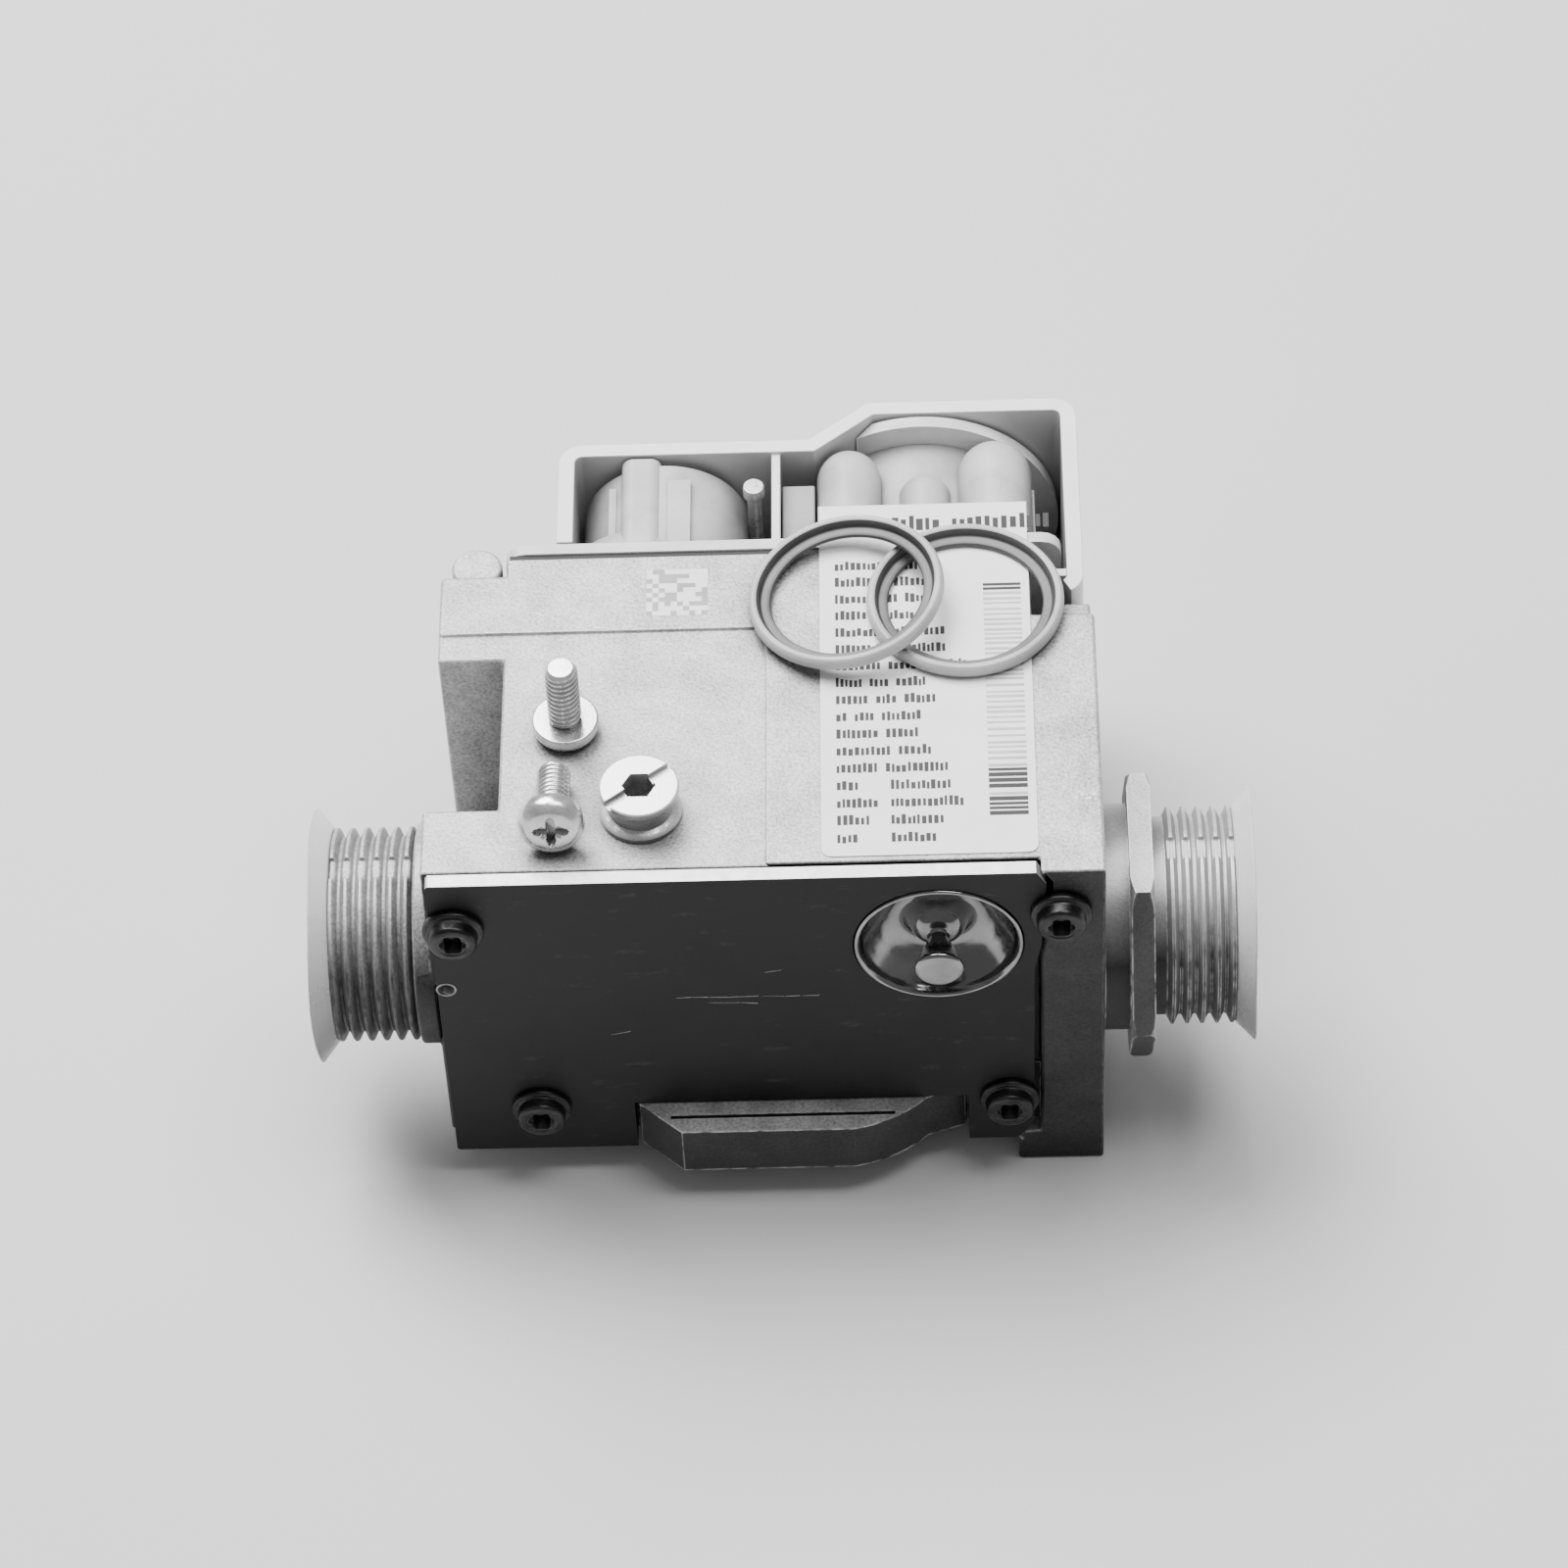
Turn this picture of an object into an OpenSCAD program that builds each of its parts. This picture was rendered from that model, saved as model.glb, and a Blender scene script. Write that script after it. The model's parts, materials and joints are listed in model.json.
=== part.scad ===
// Servo-assisted gas control valve with two solenoids, an offset adjuster and male threaded ports.
// +X is the gas inlet side, -Y is the cover plate side, +Z is the label face. The origin lies on
// the underside, straight below the middle of the port axis. Millimetres.

/* [Body] */
// Height of the port axis above the underside
axis_z = 29.8; // [29.4:0.1:30.2]
// Height of the label face above the port axis
top_rise = 26.5; // [26.2:0.1:27]
// Left side of the main block
body_left = -33; // [-33.5:0.1:-32.5]
// Right side of the foot column
body_right = 38.6; // [38.2:0.1:39]
// Rear face of the main block
body_rear = 37.2; // [37:0.1:37.4]
// Front face of the main block, behind the gasket
body_front = -12.1; // [-12.4:0.1:-11.9]
// Left side of the foot column
column_left = 31; // [30.8:0.1:31.2]
// Rear side of the foot column
column_rear = 26; // [25:0.5:27]
// Depth of the step in the top face
top_step = 0.4; // [0.2:0.1:0.8]
// Radius of the round diaphragm flange
flange_r = 38.1; // [37:0.1:38.2]
// Centre of the diaphragm flange behind the port axis
flange_y = 18; // [17:0.5:19]

/* [Ports] */
// Major diameter of the inlet's machined G3/4 pipe thread
inlet_thread_d = 26.44; // [26.4:0.01:26.44]
// Major diameter of the outlet's cast G3/4 pipe thread, near its lower limit
outlet_thread_d = 26.1; // [26.08:0.01:26.1]
// Pitch of the G3/4 pipe thread
thread_pitch = 1.814; // [1.7:0.001:1.9]
// Depth of the thread form
thread_depth = 1.16; // [0.8:0.01:1.2]
// Distance from the middle to each thread end
thread_end = 54.5; // [54:0.1:55]
// Bore of both ports
port_bore_d = 20; // [18:0.1:20.5]
// Width across flats of the adaptor hexagon
hex_af = 32; // [30:0.5:34]

/* [Cover plate] */
// Thickness of the cover plate
plate_t = 1.8; // [1.2:0.1:2]
// Thickness of the gasket behind it
gasket_t = 0.6; // [0.4:0.1:0.8]
// Diameter of the round cap in the plate
cap_d = 20.2; // [18:0.1:21]
// Diameter of a cover screw collar
screw_collar_d = 7.3; // [6.5:0.1:8]

/* [Solenoids] */
// Side position of the large solenoid
ev1_x = 18; // [17.8:0.1:18.2]
// Height of the large solenoid above the port axis
ev1_rise = 9; // [8.8:0.1:9.2]
// Opening stroke of the large solenoid
ev1_stroke = 3; // [2:0.1:3]
// Side position of the small solenoid
ev2_x = -14; // [-14.2:0.1:-13.8]
// Height of the small solenoid above the port axis
ev2_rise = 15.2; // [15:0.1:15.4]
// Opening stroke of the small solenoid
ev2_stroke = 1.5; // [1:0.1:1.5]
// Wall of the plastic coil cover
cover_wall = 2; // [1.8:0.1:2.1]

/* [Loose kit] */
// Outer diameter of a sealing ring
ring_d = 24; // [23.5:0.1:24]
// Hole diameter of a sealing ring
ring_hole_d = 18.8; // [18:0.1:19]
// Tilt of the ring that leans on the other one
ring_tilt = 8.2; // [8.2:0.1:9]
// Length of a kit screw below its head
kit_screw_l = 9.2; // [8:0.1:12]

/* [Hidden] */
$fn = 96;
label_t = 0.15;
run_gap = 0.05;              // radial clearance of every sliding fit
top_z = axis_z + top_rise;
low_top_z = top_z - top_step;
ev1_z = axis_z + ev1_rise;
ev2_z = axis_z + ev2_rise;
inlet_r = inlet_thread_d / 2;
outlet_r = outlet_thread_d / 2;
bore_r = port_bore_d / 2;
plate_front = body_front - gasket_t - plate_t;
plate_back = body_front - gasket_t;

// Underside: bottom cover, clamped diaphragm, then the body flange
cover_h = 4.8;
diaphragm_t = 0.8;
flange_base = cover_h + diaphragm_t;
flange_top = 13.3;
nose_front = -19;
seam_z = 17;                 // top of the lower housing, under the block
bottom_r = 32;

// Main valve, on a vertical axis through the flange centre
seat_base = 18;
seat_top = 21.5;
seat_lip = 0.6;
main_seat_r = 6.5;
main_disc_r = 8.2;
mid_room_r = 10;
mid_room_top = 42;

// Large solenoid stations along Y
ev1_seat_y = 27;
ev1_room_r = 11.5;
ev1_tube_r = 5.4;
ev1_bore_r = 4.6;
shutter_t = 1.5;
// Small solenoid stations along Y
ev2_seat_y = 28;
ev2_room_r = 6.5;
ev2_tube_r = 3.8;
ev2_bore_r = 3.1;
nozzle_r = 1.5;

// Rear stack: gasket, steel plate, then the coils
plate2_y = body_rear + 0.8;
coil_y = plate2_y + 1.6;
coil1_end = 57.9;
coil2_end = 53;
coil1_r = 14;
coil2_r = 10.3;

// Plastic coil cover outline
tub_left = -27;
tub_back = 56;
tub_far = 62;
tub_right = 37.5;
tub_front = coil_y + 0.1;
tub_right_front = 32.4;
tub_floor = axis_z - 12;
slope_near_x = 4.1;
slope_far_x = 11.5;

// Adjuster position on the top face
adj_x = -16;
adj_y = -3.5;
adj_bore_r = 4;
adj_floor = 38;

// Adaptor stations along X
socket_end = 31.8;
spigot_end = 33;
spigot_r = 12.2;
collar_end = 41.8;
hex_end = 44.6;
run_out_end = 46;
boss_r = 13.5;
boss_end = 44.3;

// Cover screws: side position and height above the port axis
cover_screw_at = [[-38.5, 18.7], [33.3, 19.3], [-30.3, -16.3], [27, -16.5]];
base_screw_at = [[-30.2, 23], [-30.2, 48], [32.8, 23]];
bottom_screw_angles = [22, 90, 158, 202, 270, 338];
bottom_screw_ring_r = 29.6;
cap_x = 18.8;
cap_z = axis_z + 13.7;
pin_at = [43, 46, 49];         // terminal pins, along Y

// Sealing rings and kit screws on the top face
ring_t = 2;
ring_right_at = [23, 27.5];
ring_left_at = [9.1, 27.8];
upright_at = [-25.1, 9.3];
lying_at = [-26.3, -7.3];
kit_head_r = 4;
kit_shank_r = 1.85;
kit_head_h = 2.6;

// ---- helpers ----

// A box from its low corner to its high corner
module box(low, high) {
    translate(low) cube(high - low);
}

// Children turned so that their Z axis runs along +X on the port axis
module along_x(x) {
    translate([x, 0, axis_z]) rotate([0, 90, 0]) children();
}

// Children turned so that their Z axis runs along +Y
module along_y(x, y, z) {
    translate([x, y, z]) rotate([-90, 0, 0]) children();
}

// A round bar along +Y between two stations
module bar_y(x, z, r, y0, y1) {
    along_y(x, y0, z) cylinder(r = r, h = y1 - y0);
}

// A tube between two heights
module tube(outer, inner, h) {
    difference() {
        cylinder(r = outer, h = h);
        translate([0, 0, -1]) cylinder(r = inner, h = h + 2);
    }
}

// Points of an arc, both ends included
function arc(centre, r, from, to, steps) = [for (i = [0 : steps])
    let (a = from + (to - from) * i / steps) [centre[0] + r * cos(a), centre[1] + r * sin(a)]];

// Solid threaded length along +Z: ridges with flat crests, the last one chamfered at the end
module thread(length, major_r) {
    root_r = major_r - thread_depth;
    flank = 0.3 * thread_pitch;
    flat = 0.2 * thread_pitch;
    end_chamfer = 0.12;
    last_start = length - end_chamfer - flat - flank;
    crests = 1 + floor(last_start / thread_pitch);
    ridge = [[0, 0], [1, flank], [1, flank + flat], [0, 2 * flank + flat]];
    rotate_extrude() polygon(concat([[0, 0], [root_r, 0]],
        [for (i = [crests - 1 : -1 : 1], p = ridge)
            [root_r + p[0] * thread_depth, last_start - i * thread_pitch + p[1]]],
        [[root_r, last_start], [major_r, last_start + flank], [major_r, length - end_chamfer],
            [major_r - 2 * end_chamfer, length], [0, length]]));
}

// A thread whose crests are cut flat along the top and bottom, where the mould halves met
module cast_thread(length, major_r) {
    flat_w = 3;
    difference() {
        thread(length, major_r);
        for (side = [-1, 1]) translate([side * (major_r + 0.15), 0, length / 2])
            cube([1.6, flat_w, length + 0.02], center = true);
    }
}

// Six-sided closed helix standing on Z = 0
module coil_spring(mean_r, wire_r, height, turns) {
    sides = 6;
    per_turn = 16;
    rings = round(turns * per_turn);
    points = [for (i = [0 : rings], k = [0 : sides - 1])
        let (a = 360 * i / per_turn, b = 360 * k / sides, r = mean_r + wire_r * cos(b))
        [r * cos(a), r * sin(a),
            wire_r + (height - 2 * wire_r) * i / rings + wire_r * sin(b)]];
    skin = [for (i = [0 : rings - 1], k = [0 : sides - 1]) let (n = (k + 1) % sides)
        [i * sides + k, i * sides + n, (i + 1) * sides + n, (i + 1) * sides + k]];
    first_cap = [for (k = [0 : sides - 1]) sides - 1 - k];
    last_cap = [for (k = [0 : sides - 1]) rings * sides + k];
    polyhedron(points = points, faces = concat(skin, [first_cap, last_cap]), convexity = 10);
}

// Pan-head screw pointing along -Z, its head above Z = 0
module pan_screw(head_r, head_h, shank_r, length, socket_r) {
    difference() {
        union() {
            cylinder(r = head_r, h = head_h * 0.6);
            translate([0, 0, head_h * 0.6]) cylinder(r1 = head_r, r2 = head_r * 0.72, h = head_h * 0.4);
            translate([0, 0, -length]) cylinder(r = shank_r, h = length + 0.01);
        }
        translate([0, 0, head_h * 0.45]) cylinder(r = socket_r, h = head_h, $fn = 6);
    }
}

// ---- body ----

// Nose of the lower housing, in front of the cover plate
module housing_nose() {
    difference() {
        translate([0, 0, flange_base]) linear_extrude(flange_top - flange_base)
            polygon(concat([[-18.6, body_front], [-18.3, -14.5], [-13.1, nose_front], [8, nose_front]],
                arc([5, -2], 17.26, -80, -46, 6), [[21.6, -12.9], [21.8, body_front]]));
        box([-14.5, -16.9, flange_top - 0.7], [13, -16.4, flange_top + 1]);
    }
}

// Lower casting: round diaphragm flange with a squared block on it and the nose in front
module diaphragm_housing() {
    color("darkgray") difference() {
        union() {
            intersection() {
                translate([0, flange_y, flange_base]) cylinder(r = flange_r, h = flange_top - flange_base);
                union() {
                    box([-50, body_front, 0], [column_left - 0.1, 60, seam_z]);
                    box([column_left - 0.2, column_rear + 0.1, 0], [50, 60, seam_z]);
                }
            }
            box([body_left, body_front, flange_base], [column_left - 0.1, body_rear, seam_z]);
            housing_nose();
        }
        main_valve_ways();
        body_screw_holes();
    }
}

// Outlet side of the casting: corner columns, a low ledge and the boss, which the plate covers
module outlet_side_outside() {
    boss_flat = [[-41.6, -20, axis_z - 8], [body_left + 1, body_front, axis_z + 8]];
    box([-42, body_front, flange_base + 0.2], [body_left, -2.4, top_z]);
    box([-41, 21, flange_top], [body_left, 34.3, top_z]);
    box([-40, -3, flange_top], [body_left, 21.5, axis_z - 6]);
    translate([-36.7, 36.4, axis_z]) cylinder(r = 3.1, h = top_rise - 0.6);
    difference() {
        along_x(-boss_end) cylinder(r = boss_r, h = boss_end + body_left);
        box(boss_flat[0], boss_flat[1]);
    }
    mirror([1, 0, 0]) along_x(boss_end - 0.01) cast_thread(thread_end - boss_end, outlet_r);
}

// Column on the inlet side, standing on its foot
module foot_column_outside() {
    box([column_left, -14.3, flange_base], [body_right, column_rear, top_z]);
    box([28.1, -14.3, 0], [body_right, -0.5, flange_base - 0.1]);
    box([column_left, -14.3, 0], [body_right, -0.5, flange_base + 0.01]);
    box([33.2, -1, 0], [body_right, column_rear, flange_base + 0.01]);
    box([34, column_rear - 0.01, axis_z], [38.2, 29, top_z - 1.5]);
}

// Rooms on the main valve's axis and the way from them to the outlet
module main_valve_ways() {
    difference() {
        translate([0, flange_y, seat_top]) cylinder(r = mid_room_r, h = mid_room_top - seat_top);
        translate([0, flange_y, seat_top - 1]) cylinder(r = main_seat_r + 1, h = seat_lip + 1);
    }
    translate([0, flange_y, seat_base - 1]) cylinder(r = main_seat_r, h = seat_top - seat_base + 3);
    translate([0, flange_y, flange_base - 1]) cylinder(r = 26, h = 7.4);
    translate([0, flange_y, flange_base]) cylinder(r = 17, h = seat_base - flange_base);
    box([-30, 2, 10], [-12, 14, 27]);
}

// Gas ways in the main casting: inlet socket, large solenoid room and outlet
module body_gas_ways() {
    along_x(socket_end) cylinder(r = spigot_r + run_gap, h = 20);
    along_x(body_right - 1.2) cylinder(r = 13.8, h = 20);
    along_x(26.6) cylinder(r = 10.5, h = 20);
    box([26.6, 0, axis_z - 4], [32.6, 24, axis_z + 8]);
    box([26, 20, axis_z - 4], [29.4, 34, axis_z + 8]);
    difference() {
        bar_y(ev1_x, ev1_z, ev1_room_r, ev1_seat_y, body_rear + 1);
        bar_y(ev1_x, ev1_z, 7.7, ev1_seat_y - 1, ev1_seat_y + 1);
    }
    bar_y(ev1_x, ev1_z, 6.5, 20, ev1_seat_y + 2);
    box([8.5, 14, ev1_z - 6.5], [24.5, 22, ev1_z + 6.5]);
    along_x(-thread_end - 1) cylinder(r = bore_r, h = thread_end - 21);
}

// Pilot way: small solenoid room, its nozzle, feed and the adjuster bore
module body_pilot_ways() {
    difference() {
        bar_y(ev2_x, ev2_z, ev2_room_r, ev2_seat_y, body_rear + 1);
        bar_y(ev2_x, ev2_z, nozzle_r + 0.8, ev2_seat_y - 1, ev2_seat_y + 0.6);
    }
    bar_y(ev2_x, ev2_z, nozzle_r, adj_y, ev2_seat_y + 1);
    translate([ev2_x + 5, 33, ev2_z]) rotate([0, 90, 0]) cylinder(r = 1, h = 20);
    translate([adj_x, adj_y, adj_floor]) cylinder(r = adj_bore_r, h = 30);
}

// Screw holes in the front, rear and underside
module body_screw_holes() {
    for (p = cover_screw_at) bar_y(p[0], axis_z + p[1], 1.6, -15, -4.5);
    for (p = base_screw_at) bar_y(p[0], p[1], 1.3, body_rear - 6, body_rear + 1);
    for (a = bottom_screw_angles)
        translate([bottom_screw_ring_r * cos(a), flange_y + bottom_screw_ring_r * sin(a), 0])
            cylinder(r = 1.3, h = 11);
}

// Upper face of the casting, a little lower on the outlet side
module top_step_cut() {
    box([-50, -20, low_top_z], [-1.2, 25, top_z + 1]);
}

// Middle of the main casting, between its two ends
module valve_body() {
    color("silver") difference() {
        box([body_left, body_front, seam_z], [column_left, body_rear, top_z]);
        main_valve_ways();
        body_gas_ways();
        body_pilot_ways();
        body_screw_holes();
        top_step_cut();
        bar_y(cap_x, cap_z, cap_d / 2 + 0.2, body_front - 1, -6.5);
    }
}

module outlet_side() {
    color("silver") difference() {
        outlet_side_outside();
        body_gas_ways();
        body_screw_holes();
        top_step_cut();
        along_x(-thread_end - 0.01) cylinder(r1 = bore_r + 0.8, r2 = bore_r, h = 0.8);
    }
}

module foot_column() {
    color("silver") difference() {
        foot_column_outside();
        body_gas_ways();
        body_screw_holes();
        plate_recess();
    }
}

// ---- cover plate ----

function plate_right_edge() = [[30.4, top_z + 0.1], [31.6, top_z - 2], [31, axis_z + 13],
    [30.2, axis_z + 8.5], [30, 8], [28, 4.8]];
function plate_outline() = concat([[-41, top_z + 0.1]], plate_right_edge(), [[22, 4.8], [22, 13.6],
    [-18.9, 13.6], [-18.9, 4.8], [-41, 4.8], [-41.3, 5.1], [-41.3, top_z - 0.3]]);

// Space beside the column that the plate and gasket lie in, with a gap along the plate's edge
module plate_recess() {
    gap = 0.35;
    translate([0, body_front, 0]) rotate([90, 0, 0]) linear_extrude(3) polygon(concat(
        [[24, top_z + 1], [30.4 + gap, top_z + 1]], [for (p = plate_right_edge()) p + [gap, 0]],
        [[28 + gap, 4.4], [24, 4.4]]));
}

// Outline of the plate as a slab along +Y, with its screw holes and cap hole
module plate_slab(y, thickness, cap_hole_r) {
    difference() {
        translate([0, y + thickness, 0]) rotate([90, 0, 0]) linear_extrude(thickness)
            polygon(plate_outline());
        for (p = cover_screw_at) bar_y(p[0], axis_z + p[1], 1.75, y - 1, y + thickness + 1);
        bar_y(cap_x, cap_z, cap_hole_r, y - 1, y + thickness + 1);
    }
}

module front_cover_plate() {
    color("dimgray") difference() {
        plate_slab(plate_front, plate_t, cap_d / 2 + 0.1);
        bar_y(-39.9, axis_z + 7.1, 0.9, plate_front - 1, plate_back + 1);
    }
}

module front_gasket() {
    color("black") intersection() {
        plate_slab(plate_back, gasket_t, cap_d / 2 + 0.1);
        box([-40.4, -15, 5.2], [30.6, 0, low_top_z - 0.2]);
    }
}

module cover_screws() {
    color("gray") for (p = cover_screw_at) translate([p[0], plate_front, axis_z + p[1]])
        rotate([90, 0, 0]) {
            difference() {
                union() {
                    cylinder(d = screw_collar_d, h = 0.9);
                    cylinder(r = 2.9, h = 2.6);
                    translate([0, 0, -9.5]) cylinder(r = 1.5, h = 10);
                }
                translate([0, 0, 1]) cylinder(r = 1.6, h = 3, $fn = 6);
            }
        }
}

// Cap: a dished wall with a rounded nose in the middle, and a flared stud on the nose
module flow_cap() {
    lip = cap_d / 2;
    wall = 0.8;
    depth = 5;
    floor_r = 5.4;
    nose_r = 3.6;
    outer_face = [[lip, 0], [lip - 0.7, -0.35], [lip - 1.2, 0.3], [7.6, 2.6], [6.3, depth - 0.9],
        [floor_r, depth - 0.35], [4.5, depth - 0.4], [nose_r, 3.6], [3.1, 2.4], [2.2, 1.6], [1.2, 1.3],
        [1.1, 0.9], [1.3, 0.3], [2.85, -3.5], [2.95, -3.9], [2.7, -4.2], [0, -4.2]];
    inner_face = [[0, depth + wall - 1], [nose_r - 1, depth + wall - 0.6], [nose_r, depth + wall],
        [floor_r + 0.6, depth + wall], [8.2, 3.6], [lip - 0.4, 1.6], [lip, 1.5]];
    color("gainsboro") along_y(cap_x, plate_front, cap_z) rotate_extrude()
        polygon(concat(outer_face, inner_face));
}

// ---- underside ----

module bottom_cover() {
    color("darkgray") difference() {
        translate([0, flange_y, 0]) rotate_extrude() polygon([[0, 0], [bottom_r - 1.2, 0],
            [bottom_r, 1.2], [bottom_r, cover_h], [26, cover_h], [23.5, 1.8], [0, 1.8]]);
        for (a = bottom_screw_angles)
            translate([bottom_screw_ring_r * cos(a), flange_y + bottom_screw_ring_r * sin(a), -1])
                cylinder(r = 1.4, h = 8);
        for (a = bottom_screw_angles)
            translate([bottom_screw_ring_r * cos(a), flange_y + bottom_screw_ring_r * sin(a), -1])
                cylinder(r = 2.7, h = 3.4);
    }
}

module bottom_cover_screws() {
    color("gray") for (a = bottom_screw_angles)
        translate([bottom_screw_ring_r * cos(a), flange_y + bottom_screw_ring_r * sin(a), 2.4])
            rotate([180, 0, 0]) pan_screw(2.5, 1.9, 1.2, 7, 1.1);
}

module main_diaphragm() {
    color("black") difference() {
        translate([0, flange_y, cover_h]) cylinder(r = bottom_r, h = diaphragm_t);
        for (a = bottom_screw_angles)
            translate([bottom_screw_ring_r * cos(a), flange_y + bottom_screw_ring_r * sin(a), 0])
                cylinder(r = 1.4, h = 8);
    }
}

// ---- main valve ----

main_seal_z = seat_top + seat_lip;

module main_valve() {
    color("lightgray") translate([0, flange_y, 0]) {
        translate([0, 0, flange_base + 0.05]) cylinder(r = 16, h = 1.6);
        translate([0, 0, flange_base + 1]) cylinder(r = 2.4, h = main_seal_z + 4 - flange_base);
        translate([0, 0, main_seal_z + 1.5]) cylinder(r = main_disc_r, h = 1.6);
    }
}

module main_valve_seal() {
    color("black") translate([0, flange_y, main_seal_z]) tube(main_disc_r, 2.45, 1.5);
}

module main_spring() {
    foot = main_seal_z + 3.1;
    color("lightgray") translate([0, flange_y, foot])
        coil_spring(4.8, 0.45, mid_room_top - foot, 7);
}

// ---- inlet ----

module inlet_adaptor() {
    color("silver") difference() {
        union() {
            along_x(spigot_end) cylinder(r = spigot_r, h = hex_end - spigot_end);
            along_x(body_right) cylinder(r = 13.75, h = collar_end - body_right);
            intersection() {
                along_x(collar_end) rotate(90)
                    cylinder(d = hex_af / cos(30), h = hex_end - collar_end, $fn = 6);
                along_x(collar_end) rotate_extrude() polygon([[0, 0], [17.5, 0], [18.6, 0.6],
                    [18.6, hex_end - collar_end - 0.6], [17.5, hex_end - collar_end],
                    [0, hex_end - collar_end]]);
            }
            along_x(hex_end - 0.01)
                cylinder(r = inlet_r - thread_depth, h = run_out_end - hex_end + 0.02);
            along_x(run_out_end) cast_thread(thread_end - run_out_end, inlet_r);
        }
        along_x(spigot_end - 1) cylinder(r = bore_r, h = 30);
        along_x(thread_end - 0.79) cylinder(r1 = bore_r, r2 = bore_r + 0.8, h = 0.8);
    }
}

module adaptor_seal() {
    color("black") along_x(body_right - 1.2) tube(13.7, spigot_r + 0.1, 1.2);
}

// Basket of mesh with a rim held between the socket floor and the adaptor
module inlet_strainer() {
    basket_r = 9.6;
    basket_l = 4.4;
    color("lightsteelblue") difference() {
        union() {
            along_x(socket_end) cylinder(r = 12.1, h = spigot_end - socket_end);
            along_x(socket_end - basket_l) cylinder(r = basket_r, h = basket_l + 0.1);
        }
        along_x(socket_end - basket_l + 0.6) cylinder(r = basket_r - 0.6, h = 20);
        for (ring = [[0, 1], [3.2, 6], [6.6, 12]], i = [0 : ring[1] - 1])
            along_x(20) rotate(360 * i / ring[1]) translate([ring[0], 0, 0]) cylinder(r = 1.1, h = 10);
    }
}

// ---- solenoids ----

module coil_gasket() {
    color("black") difference() {
        box([body_left + 0.3, body_rear, flange_top + 1], [column_left - 0.3, plate2_y, top_z - 0.5]);
        bar_y(ev1_x, ev1_z, ev1_tube_r + 0.1, 30, 50);
        bar_y(ev2_x, ev2_z, ev2_tube_r + 0.1, 30, 50);
        for (p = base_screw_at) bar_y(p[0], p[1], 1.4, 30, 50);
    }
}

module coil_base_plate() {
    low = axis_z - 11;
    high = top_z - 0.2;
    corner = 2.5;
    outline = concat(arc([-33.3 + corner, high - corner], corner, 180, 90, 4),
        arc([35 - corner, high - corner], corner, 90, 0, 4), [[35, low], [-33.3, low]]);
    color("lightgray") difference() {
        translate([0, coil_y, 0]) rotate([90, 0, 0]) linear_extrude(coil_y - plate2_y) polygon(outline);
        bar_y(ev1_x, ev1_z, ev1_tube_r + 0.1, 30, 50);
        bar_y(ev2_x, ev2_z, ev2_tube_r + 0.1, 30, 50);
        for (p = base_screw_at) bar_y(p[0], p[1], 1.4, 30, 50);
    }
}

module coil_plate_screws() {
    color("gray") for (p = base_screw_at) translate([p[0], coil_y, p[1]])
        rotate([-90, 0, 0]) pan_screw(2.2, 1.6, 1.2, 7, 1);
}

// Closed tube with a flange that is clamped in the body's rear room
module core_tube(x, z, outer, inner, flange, end_y) {
    difference() {
        union() {
            bar_y(x, z, flange, body_rear - 1.4, body_rear);
            bar_y(x, z, outer, body_rear - 1, end_y);
        }
        bar_y(x, z, inner, body_rear - 3, end_y - 0.8);
    }
}

module core_tube_1() {
    color("khaki") core_tube(ev1_x, ev1_z, ev1_tube_r, ev1_bore_r, ev1_room_r - 0.1, coil1_end);
}

module core_tube_2() {
    color("khaki") core_tube(ev2_x, ev2_z, ev2_tube_r, ev2_bore_r, ev2_room_r - 0.1, coil2_end);
}

ev1_face_y = ev1_seat_y + 1 + shutter_t;
ev1_plunger_end = 47;
ev2_face_y = ev2_seat_y + 0.6 + shutter_t;
ev2_plunger_end = 44.5;

module pole_piece_1() {
    color("gray")
        bar_y(ev1_x, ev1_z, ev1_bore_r - 0.02, ev1_plunger_end + ev1_stroke + 0.1, coil1_end - 0.85);
}

module pole_piece_2() {
    color("gray")
        bar_y(ev2_x, ev2_z, ev2_bore_r - 0.02, ev2_plunger_end + ev2_stroke + 0.1, coil2_end - 0.85);
}

module plunger_1() {
    color("silver") {
        bar_y(ev1_x, ev1_z, ev1_bore_r - run_gap, ev1_face_y, ev1_plunger_end);
        bar_y(ev1_x, ev1_z, 8.6, ev1_face_y, ev1_face_y + 0.9);
    }
}

module plunger_2() {
    color("silver") {
        bar_y(ev2_x, ev2_z, ev2_bore_r - run_gap, ev2_face_y, ev2_plunger_end);
        bar_y(ev2_x, ev2_z, 5, ev2_face_y, ev2_face_y + 0.7);
    }
}

module shutter_1() {
    color("black") bar_y(ev1_x, ev1_z, 8.4, ev1_seat_y + 1, ev1_face_y);
}

module shutter_2() {
    color("black") bar_y(ev2_x, ev2_z, 3.2, ev2_seat_y + 0.6, ev2_face_y);
}

module closing_spring_1() {
    foot = ev1_face_y + 0.9;
    color("lightgray") along_y(ev1_x, foot, ev1_z) coil_spring(6.6, 0.35, body_rear - 1.4 - foot, 3);
}

module closing_spring_2() {
    foot = ev2_face_y + 0.7;
    color("lightgray") along_y(ev2_x, foot, ev2_z) coil_spring(4, 0.22, body_rear - 1.4 - foot, 4);
}

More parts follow.
